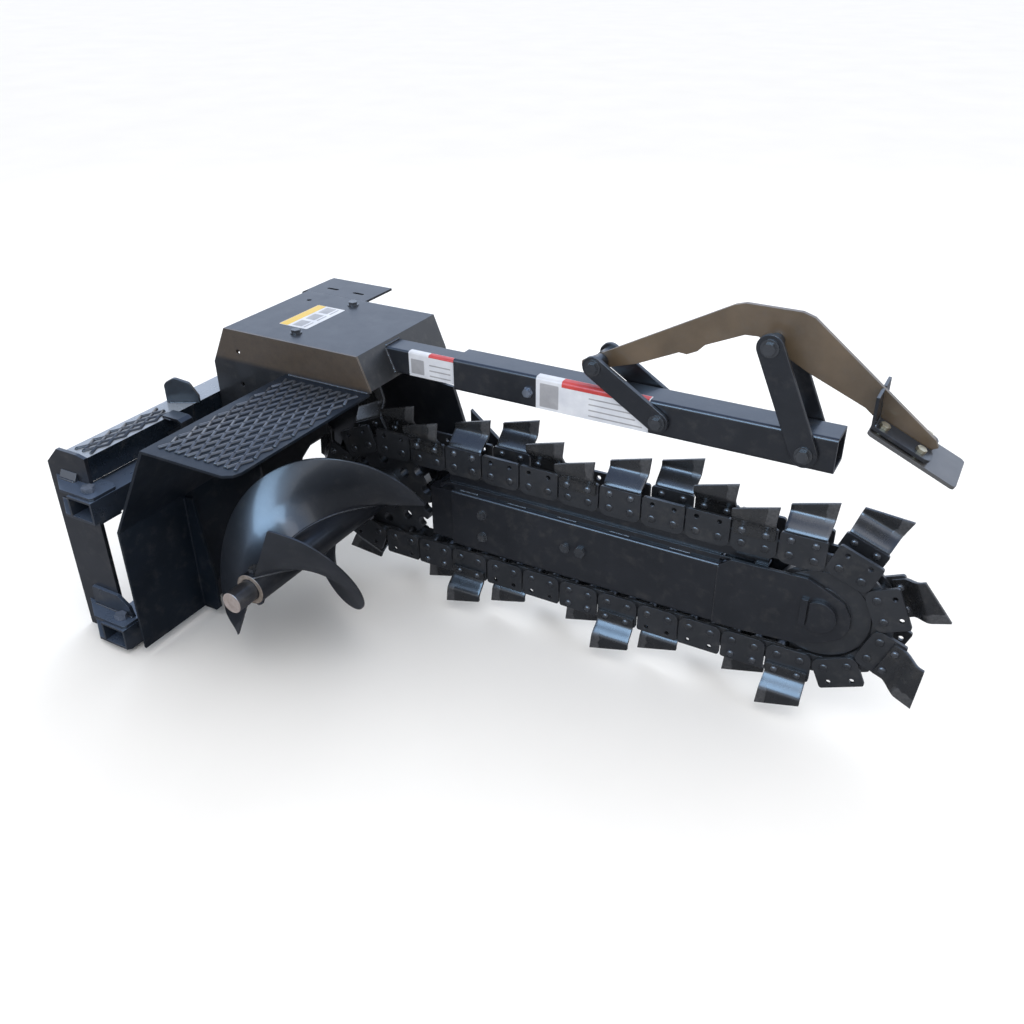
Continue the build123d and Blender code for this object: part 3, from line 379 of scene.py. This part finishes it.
def make_piece(name, bm, material, body, nodes=(), sharp=38.0):
    """Turns a bmesh into a piece with smooth shading up to the sharp angle, riding on a body."""
    bmesh.ops.remove_doubles(bm, verts=bm.verts, dist=1e-6)
    bmesh.ops.recalc_face_normals(bm, faces=bm.faces)
    for face in bm.faces:
        face.smooth = True
    for edge in bm.edges:
        edge.smooth = len(edge.link_faces) == 2 and edge.calc_face_angle(0.0) < radians(sharp)
    mesh = bpy.data.meshes.new(name)
    bm.to_mesh(mesh)
    bm.free()
    mesh.materials.append(material)
    piece = bpy.data.objects.new(name, mesh)
    bpy.context.collection.objects.link(piece)
    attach(piece, body)
    if nodes:
        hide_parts(*nodes)


def skin(bm, rings, closed=True, caps=True):
    """Quads between successive rings of points, with flat ends."""
    rows = [[bm.verts.new(p) for p in ring] for ring in rings]
    count = len(rows[0])
    for a, b in zip(rows, rows[1:]):
        for i in range(count if closed else count - 1):
            j = (i + 1) % count
            bm.faces.new((a[i], a[j], b[j], b[i]))
    if caps and closed:
        bm.faces.new(rows[0])
        bm.faces.new(rows[-1])


def lathe(bm, origin, axis, profile, sides=20):
    """Turned solid: profile is (distance along the axis, radius), closed at both ends."""
    axis = axis.normalized()
    across = axis.orthogonal().normalized()
    third = axis.cross(across)
    rings = []
    for along, radius in profile:
        ring = []
        for i in range(sides):
            a = 2 * pi * i / sides
            ring.append(origin + axis * along * MM + (across * cos(a) + third * sin(a)) * radius * MM)
        rings.append(ring)
    skin(bm, rings)


def chain_pins():
    """Pin centres (x, z) round the loop, from just past the top of the sprocket."""
    dx = PIN_CIRCLE * sin(radians(PHASE))
    dz = PIN_CIRCLE * cos(radians(PHASE))
    angles = [radians(PHASE + 360 / WHEEL_TEETH * i) for i in range(8)]
    top = [(dx + PITCH * i, dz) for i in range(22)]
    nose = [(CENTRES + PIN_CIRCLE * sin(a), PIN_CIRCLE * cos(a)) for a in angles]
    bottom = [(CENTRES - dx - PITCH * i, -dz) for i in range(22)]
    back = [(-PIN_CIRCLE * sin(a), -PIN_CIRCLE * cos(a)) for a in angles]
    return top + nose + bottom + back


PINS = chain_pins()


def link_frame(number):
    """Middle, chain direction and outward direction of an outer link."""
    ax, az = PINS[2 * number]
    bx, bz = PINS[2 * number + 1]
    run = hypot(bx - ax, bz - az)
    along = Vector(((bx - ax) / run, 0, (bz - az) / run))
    out = Vector((-along.z, 0, along.x))
    return spot((ax + bx) / 2, CHAIN_Y, (az + bz) / 2), along, out


def links_with(kind):
    """Outer links that carry a tooth of this kind; the bare link restarts the order."""
    chosen = []
    for i in range(30):
        order = (i + 3) % 4 if i < BARE_LINK else (i + 1) % 4
        if i != BARE_LINK and order == kind:
            chosen.append(i)
    return chosen


def smooth_step(t):
    """Eased rise from 0 to 1."""
    t = min(1.0, max(0.0, t))
    return t * t * (3 - 2 * t)


# ---------------------------------------------------------------- digging teeth
FOOT_BACK = 37          # trailing edge behind the link's middle
BEND_LOW = 37           # height at which the blade leaves the foot's plane
BEND_HIGH = 71          # height at which it stands upright again
BEND_ROWS = 14
TIP_ROWS = 4
TOOTH_COLUMNS = 12
TRAIL_TOP = 89
TIP_RAKE = 0.28
LEAD_FLARE = 0.097


def tooth_section(w, lean, reach):
    """Sideways offset of the blade's middle at height w, and its slope."""
    ahead_by = 0.5
    offset = lean * reach * smooth_step((w - BEND_LOW) / (BEND_HIGH - BEND_LOW))
    ahead = lean * reach * smooth_step((w + ahead_by - BEND_LOW) / (BEND_HIGH - BEND_LOW))
    return offset, (ahead - offset) / ahead_by


def tooth_mesh(bm, uv, number, base_y, lean, reach):
    """One scooped tooth: flat foot, curved web and upright blade with a raked cutting edge."""
    middle, along, out = link_frame(number)
    bend = BEND_HIGH - BEND_LOW
    heights = [20, 27, 34] + [BEND_LOW + bend * i / BEND_ROWS for i in range(1, BEND_ROWS + 1)]
    front, back, where = [], [], {}
    for i in range(TOOTH_COLUMNS + 1):
        s = i / TOOTH_COLUMNS
        face_row, back_row = [], []
        for j in range(len(heights) + TIP_ROWS):
            if j < len(heights):
                w = heights[j]
            else:
                edge_top = TRAIL_TOP + TIP_RAKE * (-FOOT_BACK + 80 * s)
                w = BEND_HIGH + (edge_top - BEND_HIGH) * (j - len(heights) + 1) / TIP_ROWS
            lead = FOOT_BACK if w < 40 else FOOT_BACK + (w - 40) * LEAD_FLARE
            u = -FOOT_BACK + s * (lead + FOOT_BACK)
            offset, slope = tooth_section(w, lean, reach)
            length = hypot(1, slope)
            for sign, row in ((-1, face_row), (1, back_row)):
                y = base_y + offset + sign * TOOTH_T / 2 / length
                level = w - sign * slope * TOOTH_T / 2 / length
                point = middle + (along * u + out * level + Vector((0, y, 0))) * MM
                vert = bm.verts.new(point)
                where[vert] = (u * 0.01 + 0.5, w * 0.01)
                row.append(vert)
        front.append(face_row)
        back.append(back_row)
    rows = len(front[0])
    faces = []
    for i in range(TOOTH_COLUMNS):
        for j in range(rows - 1):
            faces.append((front[i][j], front[i + 1][j], front[i + 1][j + 1], front[i][j + 1]))
            faces.append((back[i][j], back[i][j + 1], back[i + 1][j + 1], back[i + 1][j]))
        faces.append((front[i][0], back[i][0], back[i + 1][0], front[i + 1][0]))
        faces.append((front[i][-1], front[i + 1][-1], back[i + 1][-1], back[i][-1]))
    for j in range(rows - 1):
        faces.append((front[0][j], front[0][j + 1], back[0][j + 1], back[0][j]))
        faces.append((front[-1][j], back[-1][j], back[-1][j + 1], front[-1][j + 1]))
    for corners in faces:
        face = bm.faces.new(corners)
        for loop in face.loops:
            loop[uv].uv = where[loop.vert]


# Name, kind, sideways place of the blade's foot, side it leans to and how far.
TEETH = [
    ("teeth_near_out", 0, -OUTER_Y - TOOTH_T / 2, -1, 22.0),
    ("teeth_near_in", 1, -OUTER_Y + 1.5 * TOOTH_T, 1, 28.0),
    ("teeth_far_out", 2, OUTER_Y + TOOTH_T / 2, 1, 28.0),
    ("teeth_far_in", 3, OUTER_Y - 1.5 * TOOTH_T, -1, 22.0),
]

for tooth_name, kind, base_y, lean, reach in TEETH:
    tooth_bm = bmesh.new()
    uv_layer = tooth_bm.loops.layers.uv.new("blade")
    for link in links_with(kind):
        tooth_mesh(tooth_bm, uv_layer, link, base_y, lean, reach)
    bmesh.ops.recalc_face_normals(tooth_bm, faces=tooth_bm.faces)
    rim = [e for e in tooth_bm.edges if e.calc_face_angle(0.0) > radians(60)]
    bmesh.ops.bevel(tooth_bm, geom=rim, offset=0.0009, segments=2, profile=0.6, affect="EDGES")
    make_piece(tooth_name + "_blades", tooth_bm, PAINT_TOOTH, "chassis", (tooth_name,))

# Round-headed bolts with hex nuts behind, through the plates and teeth.
SHANK_R = 4.4
SIDEWAYS = Vector((0, 1, 0))
DOME = [(1.0, SHANK_R), (0, 7.4), (-1.2, 7.3), (-3.0, 5.9), (-4.2, 3.6), (-4.8, 0.4)]
bolt_bm = bmesh.new()
for tooth_name, kind, base_y, lean, reach in TEETH:
    low = min(base_y - TOOTH_T / 2, -OUTER_Y if base_y < 0 else OUTER_Y - PLATE_T)
    high = max(base_y + TOOTH_T / 2, -OUTER_Y + PLATE_T if base_y < 0 else OUTER_Y)
    for link in links_with(kind):
        middle, along, out = link_frame(link)
        for u in (-PITCH / 2, PITCH / 2):
            seat = middle + (along * u + out * BOLT_UP) * MM
            near_face = seat + Vector((0, low, 0)) * MM
            far_face = seat + Vector((0, high, 0)) * MM
            lathe(bolt_bm, near_face, SIDEWAYS, DOME, 16)
            lathe(bolt_bm, near_face, SIDEWAYS, [(0, SHANK_R), (high - low, SHANK_R)], 12)
            lathe(bolt_bm, far_face, SIDEWAYS, [(0, 7.6), (3.9, 7.6), (4.9, 6.4), (4.9, 0.6)], 6)
make_piece("tooth_bolt_heads", bolt_bm, BOLT_DARK, "chassis", ("tooth_bolts",))

# Peened pin ends on both sides of every outer link.
pin_bm = bmesh.new()
PEENED = [(0, 0.5), (0.2, 4.8), (1.0, 7.0), (2.0, 7.7), (2.5, 7.8), (2.6, 6.4)]
PIN_LENGTH = 2 * OUTER_Y + 5.0
PIN_PROFILE = PEENED + [(PIN_LENGTH - along, radius) for along, radius in reversed(PEENED)]
for x, z in PINS:
    lathe(pin_bm, spot(x, CHAIN_Y - OUTER_Y - 2.5, z), SIDEWAYS, PIN_PROFILE, 20)
make_piece("chain_pin_ends", pin_bm, PAINT_CHAIN, "chassis", ("chain_pins",))


# ---------------------------------------------------------------- auger
def flight_radius(t, cut):
    """Rim radius along the flight, eased over its first tenth."""
    return AUGER_R - cut * (1 - smooth_step(t / 0.10))


def flight_mesh(bm, start_angle, cut):
    """One left-hand helical flight with an eased start and a rounded rim."""
    steps = 96
    rings = []
    for i in range(steps + 1):
        t = i / steps
        angle = radians(start_angle) - FLIGHT_TURN * t
        y = AUGER_END + 4 + (AUGER_START - AUGER_END) * t
        rim = flight_radius(t, cut)
        section = [(29.8, -3.4), (60, -3.2), (100, -3.1), (rim - 2, -3.0), (rim - 0.3, -1.8), (rim - 0.3, 1.8),
                   (rim - 2, 3.0), (100, 3.1), (60, 3.2), (29.8, 3.4)]
        rings.append([spot(r * cos(angle), y + dy, r * sin(angle)) for r, dy in section])
    skin(bm, rings)


def bead(bm, points, radius, ripple=0.13, wave=3.4):
    """A weld bead: a half-buried tube with the ripples of the run."""
    points = [Vector(p) for p in points]
    dense = []
    for a, b in zip(points, points[1:]):
        pieces = max(1, int((b - a).length / 1.3))
        dense += [a.lerp(b, i / pieces) for i in range(pieces)]
    dense.append(points[-1])
    rings, travelled = [], 0.0
    across = None
    for i, p in enumerate(dense):
        ahead = dense[min(i + 1, len(dense) - 1)] - dense[max(i - 1, 0)]
        ahead.normalize()
        if across is None:
            across = ahead.orthogonal().normalized()
        across = (across - ahead * across.dot(ahead)).normalized()
        third = ahead.cross(across)
        if i:
            travelled += (p - dense[i - 1]).length
        swell = 1 + ripple * sin(2 * pi * travelled / wave) + 0.06 * sin(travelled * 0.43)
        taper = 0.45 if i in (0, len(dense) - 1) else 1.0
        r = radius * swell * taper
        rings.append([spot(*(p + (across * cos(a) + third * sin(a)) * r))
                      for a in (2 * pi * k / 8 for k in range(8))])
    skin(bm, rings)


flight_bm = bmesh.new()
for start, cut in zip(FLIGHT_STARTS, (4, 22)):
    flight_mesh(flight_bm, start, cut)
make_piece("auger_flight_sheets", flight_bm, PAINT_FLIGHT, "head", ("auger_flights",))

weld_bm = bmesh.new()
PATH_STEPS = 120
for start in FLIGHT_STARTS:
    for side_y in (-4.6, 4.6):
        path = []
        for i in range(PATH_STEPS + 1):
            angle = radians(start) - FLIGHT_TURN * i / PATH_STEPS
            y = AUGER_END + 4 + (AUGER_START - AUGER_END) * i / PATH_STEPS + side_y
            path.append((31.0 * cos(angle), y, 31.0 * sin(angle)))
        bead(weld_bm, path, 2.4)
make_piece("auger_weld_beads", weld_bm, WELD, "head", sharp=60)

ring_bm = bmesh.new()
ring_rows = []
RIM_SIDES = 48
RIM_ANGLES = [2 * pi * k / RIM_SIDES for k in range(RIM_SIDES)]
for radius, y in ((21.2, AUGER_END - 0.1), (21.4, AUGER_END - 0.5), (29.3, AUGER_END - 0.5),
                  (29.9, AUGER_END + 0.2)):
    ring_rows.append([spot(radius * cos(a), y, radius * sin(a)) for a in RIM_ANGLES])
skin(ring_bm, ring_rows + [ring_rows[0]], caps=False)
make_piece("auger_tube_rim", ring_bm, RAW_CUT, "head")


# ---------------------------------------------------------------- treads
STRAND = [(-3.1, 0.0), (-2.8, 2.2), (-1.5, 3.6), (1.5, 3.6), (2.8, 2.2), (3.1, 0.0)]


def tread(name, node, body, centre_x, centre_y, level, length, width, pitch_l, pitch_w):
    """Expanded metal: crossing half-round strands trimmed to a rectangle."""
    bm = bmesh.new()
    count = int(length / pitch_l) + int(width / pitch_w) + 3
    tilt = atan2(pitch_w, pitch_l)
    half_l, half_w = length / 2, width / 2
    for i in range(count):
        start = pitch_l * (i - count / 2 + 0.5)
        for sign in (-1, 1):
            run = Vector((cos(tilt), sign * sin(tilt)))
            reach = half_w / sin(tilt)
            low = max(-reach, (-half_l - start) / run.x)
            high = min(reach, (half_l - start) / run.x)
            if high - low < 4:
                continue
            across = Vector((-run.y, run.x))
            rings = []
            for t in (low, low + 1.2, high - 1.2, high):
                flat = 0.55 if t in (low, high) else 1.0
                ring = []
                for offset, rise in STRAND:
                    p = Vector((start, 0)) + run * t + across * offset
                    ring.append(spot(centre_x - p.y, centre_y + p.x, level + rise * flat))
                rings.append(ring)
            skin(bm, rings)
    make_piece(name, bm, PAINT_TREAD, body, (node,), sharp=50)


tread("step_tread_strands", "step_tread", "chassis", -54, -304, STEP_Z, 336, 176, 49, 22.3)
tread("channel_tread_strands", "channel_tread", "mount_frame", -385, -344, CHANNEL_TOP, 206, 42, 40, 20)


# ---------------------------------------------------------------- weld beads on the frame
def beads(name, body, runs, radius, material=WELD_PAINTED):
    """One piece made of several weld runs."""
    bm = bmesh.new()
    for points in runs:
        bead(bm, points, radius)
    make_piece(name, bm, material, body, sharp=60)


beads("crumber_bar_weld", "chassis",
      [[(24, -25.6, 323), (45, -25.6, 274)], [(23, -24, 325), (23, 24, 325)],
       [(24, 25.6, 323), (45, 25.6, 274)]], 2.8)
beads("step_weld", "chassis", [[(-152, -115.6, 262.6), (44, -115.6, 262.6)]], 2.6)
beads("boom_nose_weld", "boom_outer",
      [[(738, -39.6, -78), (738, -39.6, 44)], [(738, 2.6, -78), (738, 2.6, 44)]], 2.4)
STRIP_EDGE = CHAIN_Y - 12.4
beads("wear_strip_weld", "boom_outer",
      [[(x, STRIP_EDGE, 47.6), (x + 42, STRIP_EDGE, 47.6)] for x in (190, 300, 410, 520, 640)], 2.2)
EAR_X = -385
EAR_Y = -185
EAR_RUN = (29 * 0.89, 29 * 0.46)
beads("ear_weld", "mount_frame",
      [[(EAR_X - EAR_RUN[0] + dx, EAR_Y - EAR_RUN[1] + dy, 184.6),
        (EAR_X + EAR_RUN[0] + dx, EAR_Y + EAR_RUN[1] + dy, 184.6)]
       for dx, dy in ((-0.4, 0.8), (4.1, -7.9))], 2.2)
beads("hook_weld", "mount_frame",
      [[(-362.8, -267, 185), (-362.8, -239, 185)], [(-357, -267.6, 184.8), (-340, -267.6, 184.8)]], 2.0)
beads("gusset_weld", "mount_frame",
      [[(-424, y, -160.6), (-318, y, -160.6)] for y in (-478.4, 353.2)]
      + [[(-429, -479.4, 132.5), (-388, -479.4, 132.5)], [(-429, 354.4, 132.5), (-388, 354.4, 132.5)]], 2.4)
beads("clamp_weld", "mount_frame",
      [[(-448, y, z), (-358, y, z)] for y in (-471.0, 346.0) for z in (126.4, 79.4, -167.0, -213.4)], 2.2)
beads("shoe_weld", "arm",
      [[(954.4, -45, 371.5), (954.4, -7, 371.5)], [(954.4, 7, 371.5), (954.4, 45, 371.5)],
       [(952, -5.2, 372), (952, -5.2, 398)], [(952, 5.2, 372), (952, 5.2, 398)]], 2.4)
# The rib's weld takes the guard's darker painted-shade paint, so it sinks into the same shade.
beads("rib_weld", "chassis", [[(-272.6, -332.6, -205), (-270.6, -332.6, 55)]], 2.2, PAINT_SHADED)


# ---------------------------------------------------------------- generic labels, with no lettering
LYING = ((1, 0, 0), (0, 1, 0))
STANDING = ((1, 0, 0), (0, 0, 1))


def panel(name, body, corner, axes, size, material, radius=3.0, thick=0.35):
    """Thin rounded sheet: corner is its lowest corner, size its two side lengths."""
    along = Vector(axes[0])
    across = Vector(axes[1])
    up = along.cross(across).normalized()
    w, h = size
    outline = []
    for cx, cy, first in ((w - radius, h - radius, 0), (radius, h - radius, 1), (radius, radius, 2),
                          (w - radius, radius, 3)):
        for k in range(5):
            a = (first + k / 4) * pi / 2
            outline.append((cx + radius * cos(a), cy + radius * sin(a)))
    bm = bmesh.new()
    base = Vector(corner)
    rings = []
    for lift, inset in ((0.0, 0.0), (thick * 0.6, 0.0), (thick, 0.25)):
        ring = []
        for a, b in outline:
            a = w / 2 + (a - w / 2) * (1 - 2 * inset / w)
            b = h / 2 + (b - h / 2) * (1 - 2 * inset / h)
            ring.append(spot(*(base + along * a + across * b + up * lift)))
        rings.append(ring)
    skin(bm, rings)
    make_piece(name, bm, material, body)


def wrapped(name, body, x0, x1, half, centre_z, z_low, inward, material, lift, corner=6.0):
    """Thin sheet on the near face of a square tube, bent over its upper edge."""
    bm = bmesh.new()
    face = -half - lift
    top = centre_z + half + lift
    r = corner + lift
    profile = [(face, z_low)] if z_low < top - r else []
    for k in range(9):
        a = pi / 2 * k / 8
        profile.append((face + r - r * cos(a), top - r + r * sin(a)))
    profile.append((-half + inward, top))
    inner = [(y + 0.2 * (1 if y < face + 1 else 0), z - 0.2 * (1 if z > top - 1 else 0)) for y, z in profile]
    loop = profile + inner[::-1]
    skin(bm, [[spot(x, y, z) for y, z in loop] for x in (x0, x1)])
    make_piece(name, bm, material, body)


# A thin dark sheet under the step's strands is painted shade between them.
panel("step_tread_shade_sheet", "chassis", (-139, -469, STEP_Z + 0.1), LYING, (170, 330), PAINT_SHADED, 2.0, 0.15)

panel("housing_label", "chassis", (-230, -41, LABEL_LEVEL), LYING, (72, 129), LABEL_WHITE)
PRINT_LEVEL = LABEL_LEVEL + 0.35
panel("housing_label_header", "chassis", (-229, -40, PRINT_LEVEL), LYING, (21, 127), LABEL_YELLOW, 2.4, 0.15)
for number in range(3):
    y = -34 + 42 * number
    panel("housing_label_block_%d" % number, "chassis", (-201, y, PRINT_LEVEL), LYING, (24, 32), LABEL_INK,
          1.6, 0.12)
    panel("housing_label_line_%d" % number, "chassis", (-172, y, PRINT_LEVEL), LYING, (4, 30), LABEL_INK,
          0.8, 0.12)

wrapped("bar_label_inner", "chassis", 79, 182, INNER_BAR_HALF, BAR_CENTRE_Z, 275, 13, LABEL_WHITE, 0.25, 4.0)
wrapped("bar_label_inner_header", "chassis", 125, 181, INNER_BAR_HALF, BAR_CENTRE_Z, 321, 12, LABEL_RED,
        0.5, 4.0)
INNER_PRINT_Y = -25.7
panel("bar_label_inner_block", "chassis", (84, INNER_PRINT_Y, 281), STANDING, (30, 30), LABEL_INK, 2.0, 0.15)
for number in range(3):
    panel("bar_label_inner_line_%d" % number, "chassis", (126, INNER_PRINT_Y, 281 + 11 * number), STANDING,
          (48, 2.6), LABEL_INK, 0.8, 0.12)

wrapped("bar_label_outer", "crumber_outer", 362, 583, OUTER_BAR_HALF, BAR_CENTRE_Z, 269, 17, LABEL_WHITE, 0.25)
wrapped("bar_label_outer_header", "crumber_outer", 414, 581, OUTER_BAR_HALF, BAR_CENTRE_Z, 320, 16, LABEL_RED,
        0.5)
OUTER_PRINT_Y = -32.05
panel("bar_label_outer_block_0", "crumber_outer", (370, OUTER_PRINT_Y, 274), STANDING, (38, 46), LABEL_INK,
      2.0, 0.15)
for number in range(4):
    width = 104 - 14 * (number % 2)
    panel("bar_label_outer_line_%d" % number, "crumber_outer", (468, OUTER_PRINT_Y, 275 + 11 * number),
          STANDING, (width, 2.6), LABEL_INK, 0.8, 0.12)


# ---------------------------------------------------------------- floor, light, camera
def make_floor():
    """Wide pale floor, which reflections see as darker ground."""
    bpy.ops.mesh.primitive_plane_add(size=80, location=(0.3, 0.5, cad_low.z))
    floor = bpy.context.object
    floor.name = "floor"
    m = Nodes("pale_floor")
    tone = m.ramp(m.noise(2.0, 3.0), [(0.3, (0.90, 0.90, 0.90)), (0.7, (0.93, 0.93, 0.93))])
    path = m.add("ShaderNodeLightPath")
    m.join(m.mix(path.outputs["Is Glossy Ray"], tone, (0.17, 0.175, 0.195)), m.shader.inputs["Base Color"])
    m.join(m.spread(m.noise(6.0), 0.85, 0.95), m.shader.inputs["Roughness"])
    floor.data.materials.append(m.mat)


def make_world():
    """White surroundings for the eye and for soft light; gloss sees a pale sky over a warm yard."""
    world = bpy.data.worlds.new("studio")
    bpy.context.scene.world = world
    world.use_nodes = True
    tree = world.node_tree
    tree.nodes.clear()
    place = tree.nodes.new("ShaderNodeTexCoord")
    split = tree.nodes.new("ShaderNodeSeparateXYZ")
    span = tree.nodes.new("ShaderNodeMapRange")
    span.inputs["From Min"].default_value = -1.0
    span.inputs["From Max"].default_value = 1.0
    ramp = tree.nodes.new("ShaderNodeValToRGB")
    stops = [(0.0, (0.10, 0.10, 0.11)), (0.47, (0.24, 0.21, 0.19)), (0.52, (0.72, 0.73, 0.76)),
             (0.66, (0.62, 0.74, 0.95)), (0.82, (0.34, 0.48, 0.78)), (1.0, (0.17, 0.28, 0.55))]
    elements = ramp.color_ramp.elements
    while len(elements) < len(stops):
        elements.new(0.5)
    for element, (at, color) in zip(elements, stops):
        element.position = at
        element.color = (*color, 1.0)
    sky = tree.nodes.new("ShaderNodeBackground")
    sky.inputs["Strength"].default_value = 1.7
    white = tree.nodes.new("ShaderNodeBackground")
    white.inputs["Color"].default_value = (1, 1, 1, 1)
    white.inputs["Strength"].default_value = 1.08
    path = tree.nodes.new("ShaderNodeLightPath")
    choose = tree.nodes.new("ShaderNodeMixShader")
    out = tree.nodes.new("ShaderNodeOutputWorld")
    link = tree.links.new
    link(place.outputs["Generated"], split.inputs[0])
    link(split.outputs["Z"], span.inputs["Value"])
    link(span.outputs["Result"], ramp.inputs["Fac"])
    link(ramp.outputs["Color"], sky.inputs["Color"])
    link(path.outputs["Is Glossy Ray"], choose.inputs["Fac"])
    link(white.outputs[0], choose.inputs[1])
    link(sky.outputs[0], choose.inputs[2])
    link(choose.outputs[0], out.inputs["Surface"])


def area_light(name, place, aim, size, power, color, mirrored=True, soft=True):
    """Rectangular light; mirrored lights show in reflections, soft ones light the surfaces."""
    light = bpy.data.lights.new(name, "AREA")
    light.shape = "RECTANGLE"
    light.size, light.size_y = size
    light.energy = power
    light.color = color
    holder = bpy.data.objects.new(name, light)
    bpy.context.collection.objects.link(holder)
    holder.location = place
    holder.visible_glossy = mirrored
    holder.visible_diffuse = soft
    holder.rotation_mode = "QUATERNION"
    holder.rotation_quaternion = (Vector(aim) - Vector(place)).to_track_quat("-Z", "Y")


make_floor()
make_world()
area_light("key", (1.2, -1.1, 2.6), (0.3, 0.48, 0), (2.0, 2.0), 22, (1.0, 0.97, 0.93))
area_light("back", (-1.0, 2.9, 2.2), (0.3, 0.48, 0), (2.6, 1.6), 40, (0.82, 0.90, 1.0), mirrored=False)
area_light("sky_panel", (0.2, -2.0, 1.7), (0.1, 0.3, 0), (2.4, 1.2), 92, (0.44, 0.69, 1.0), soft=False)

camera_data = bpy.data.cameras.new("camera")
camera_data.sensor_width = 36
camera_data.lens = 34.78
camera_data.clip_start = 0.05
camera_data.clip_end = 200
camera = bpy.data.objects.new("camera", camera_data)
bpy.context.collection.objects.link(camera)
CAMERA_PLACE = (1.13542, -1.02683, 1.03662)
RIGHT = Vector((0.87441, 0.48515, -0.00684))
UP = Vector((-0.24315, 0.45034, 0.85911))
BACK = Vector((0.41987, -0.74955, 0.51175))
turn = Matrix((RIGHT, UP, BACK)).transposed()
camera.matrix_world = Matrix.Translation(CAMERA_PLACE) @ turn.to_4x4()
bpy.context.scene.camera = camera
bpy.context.scene.view_settings.view_transform = "Standard"
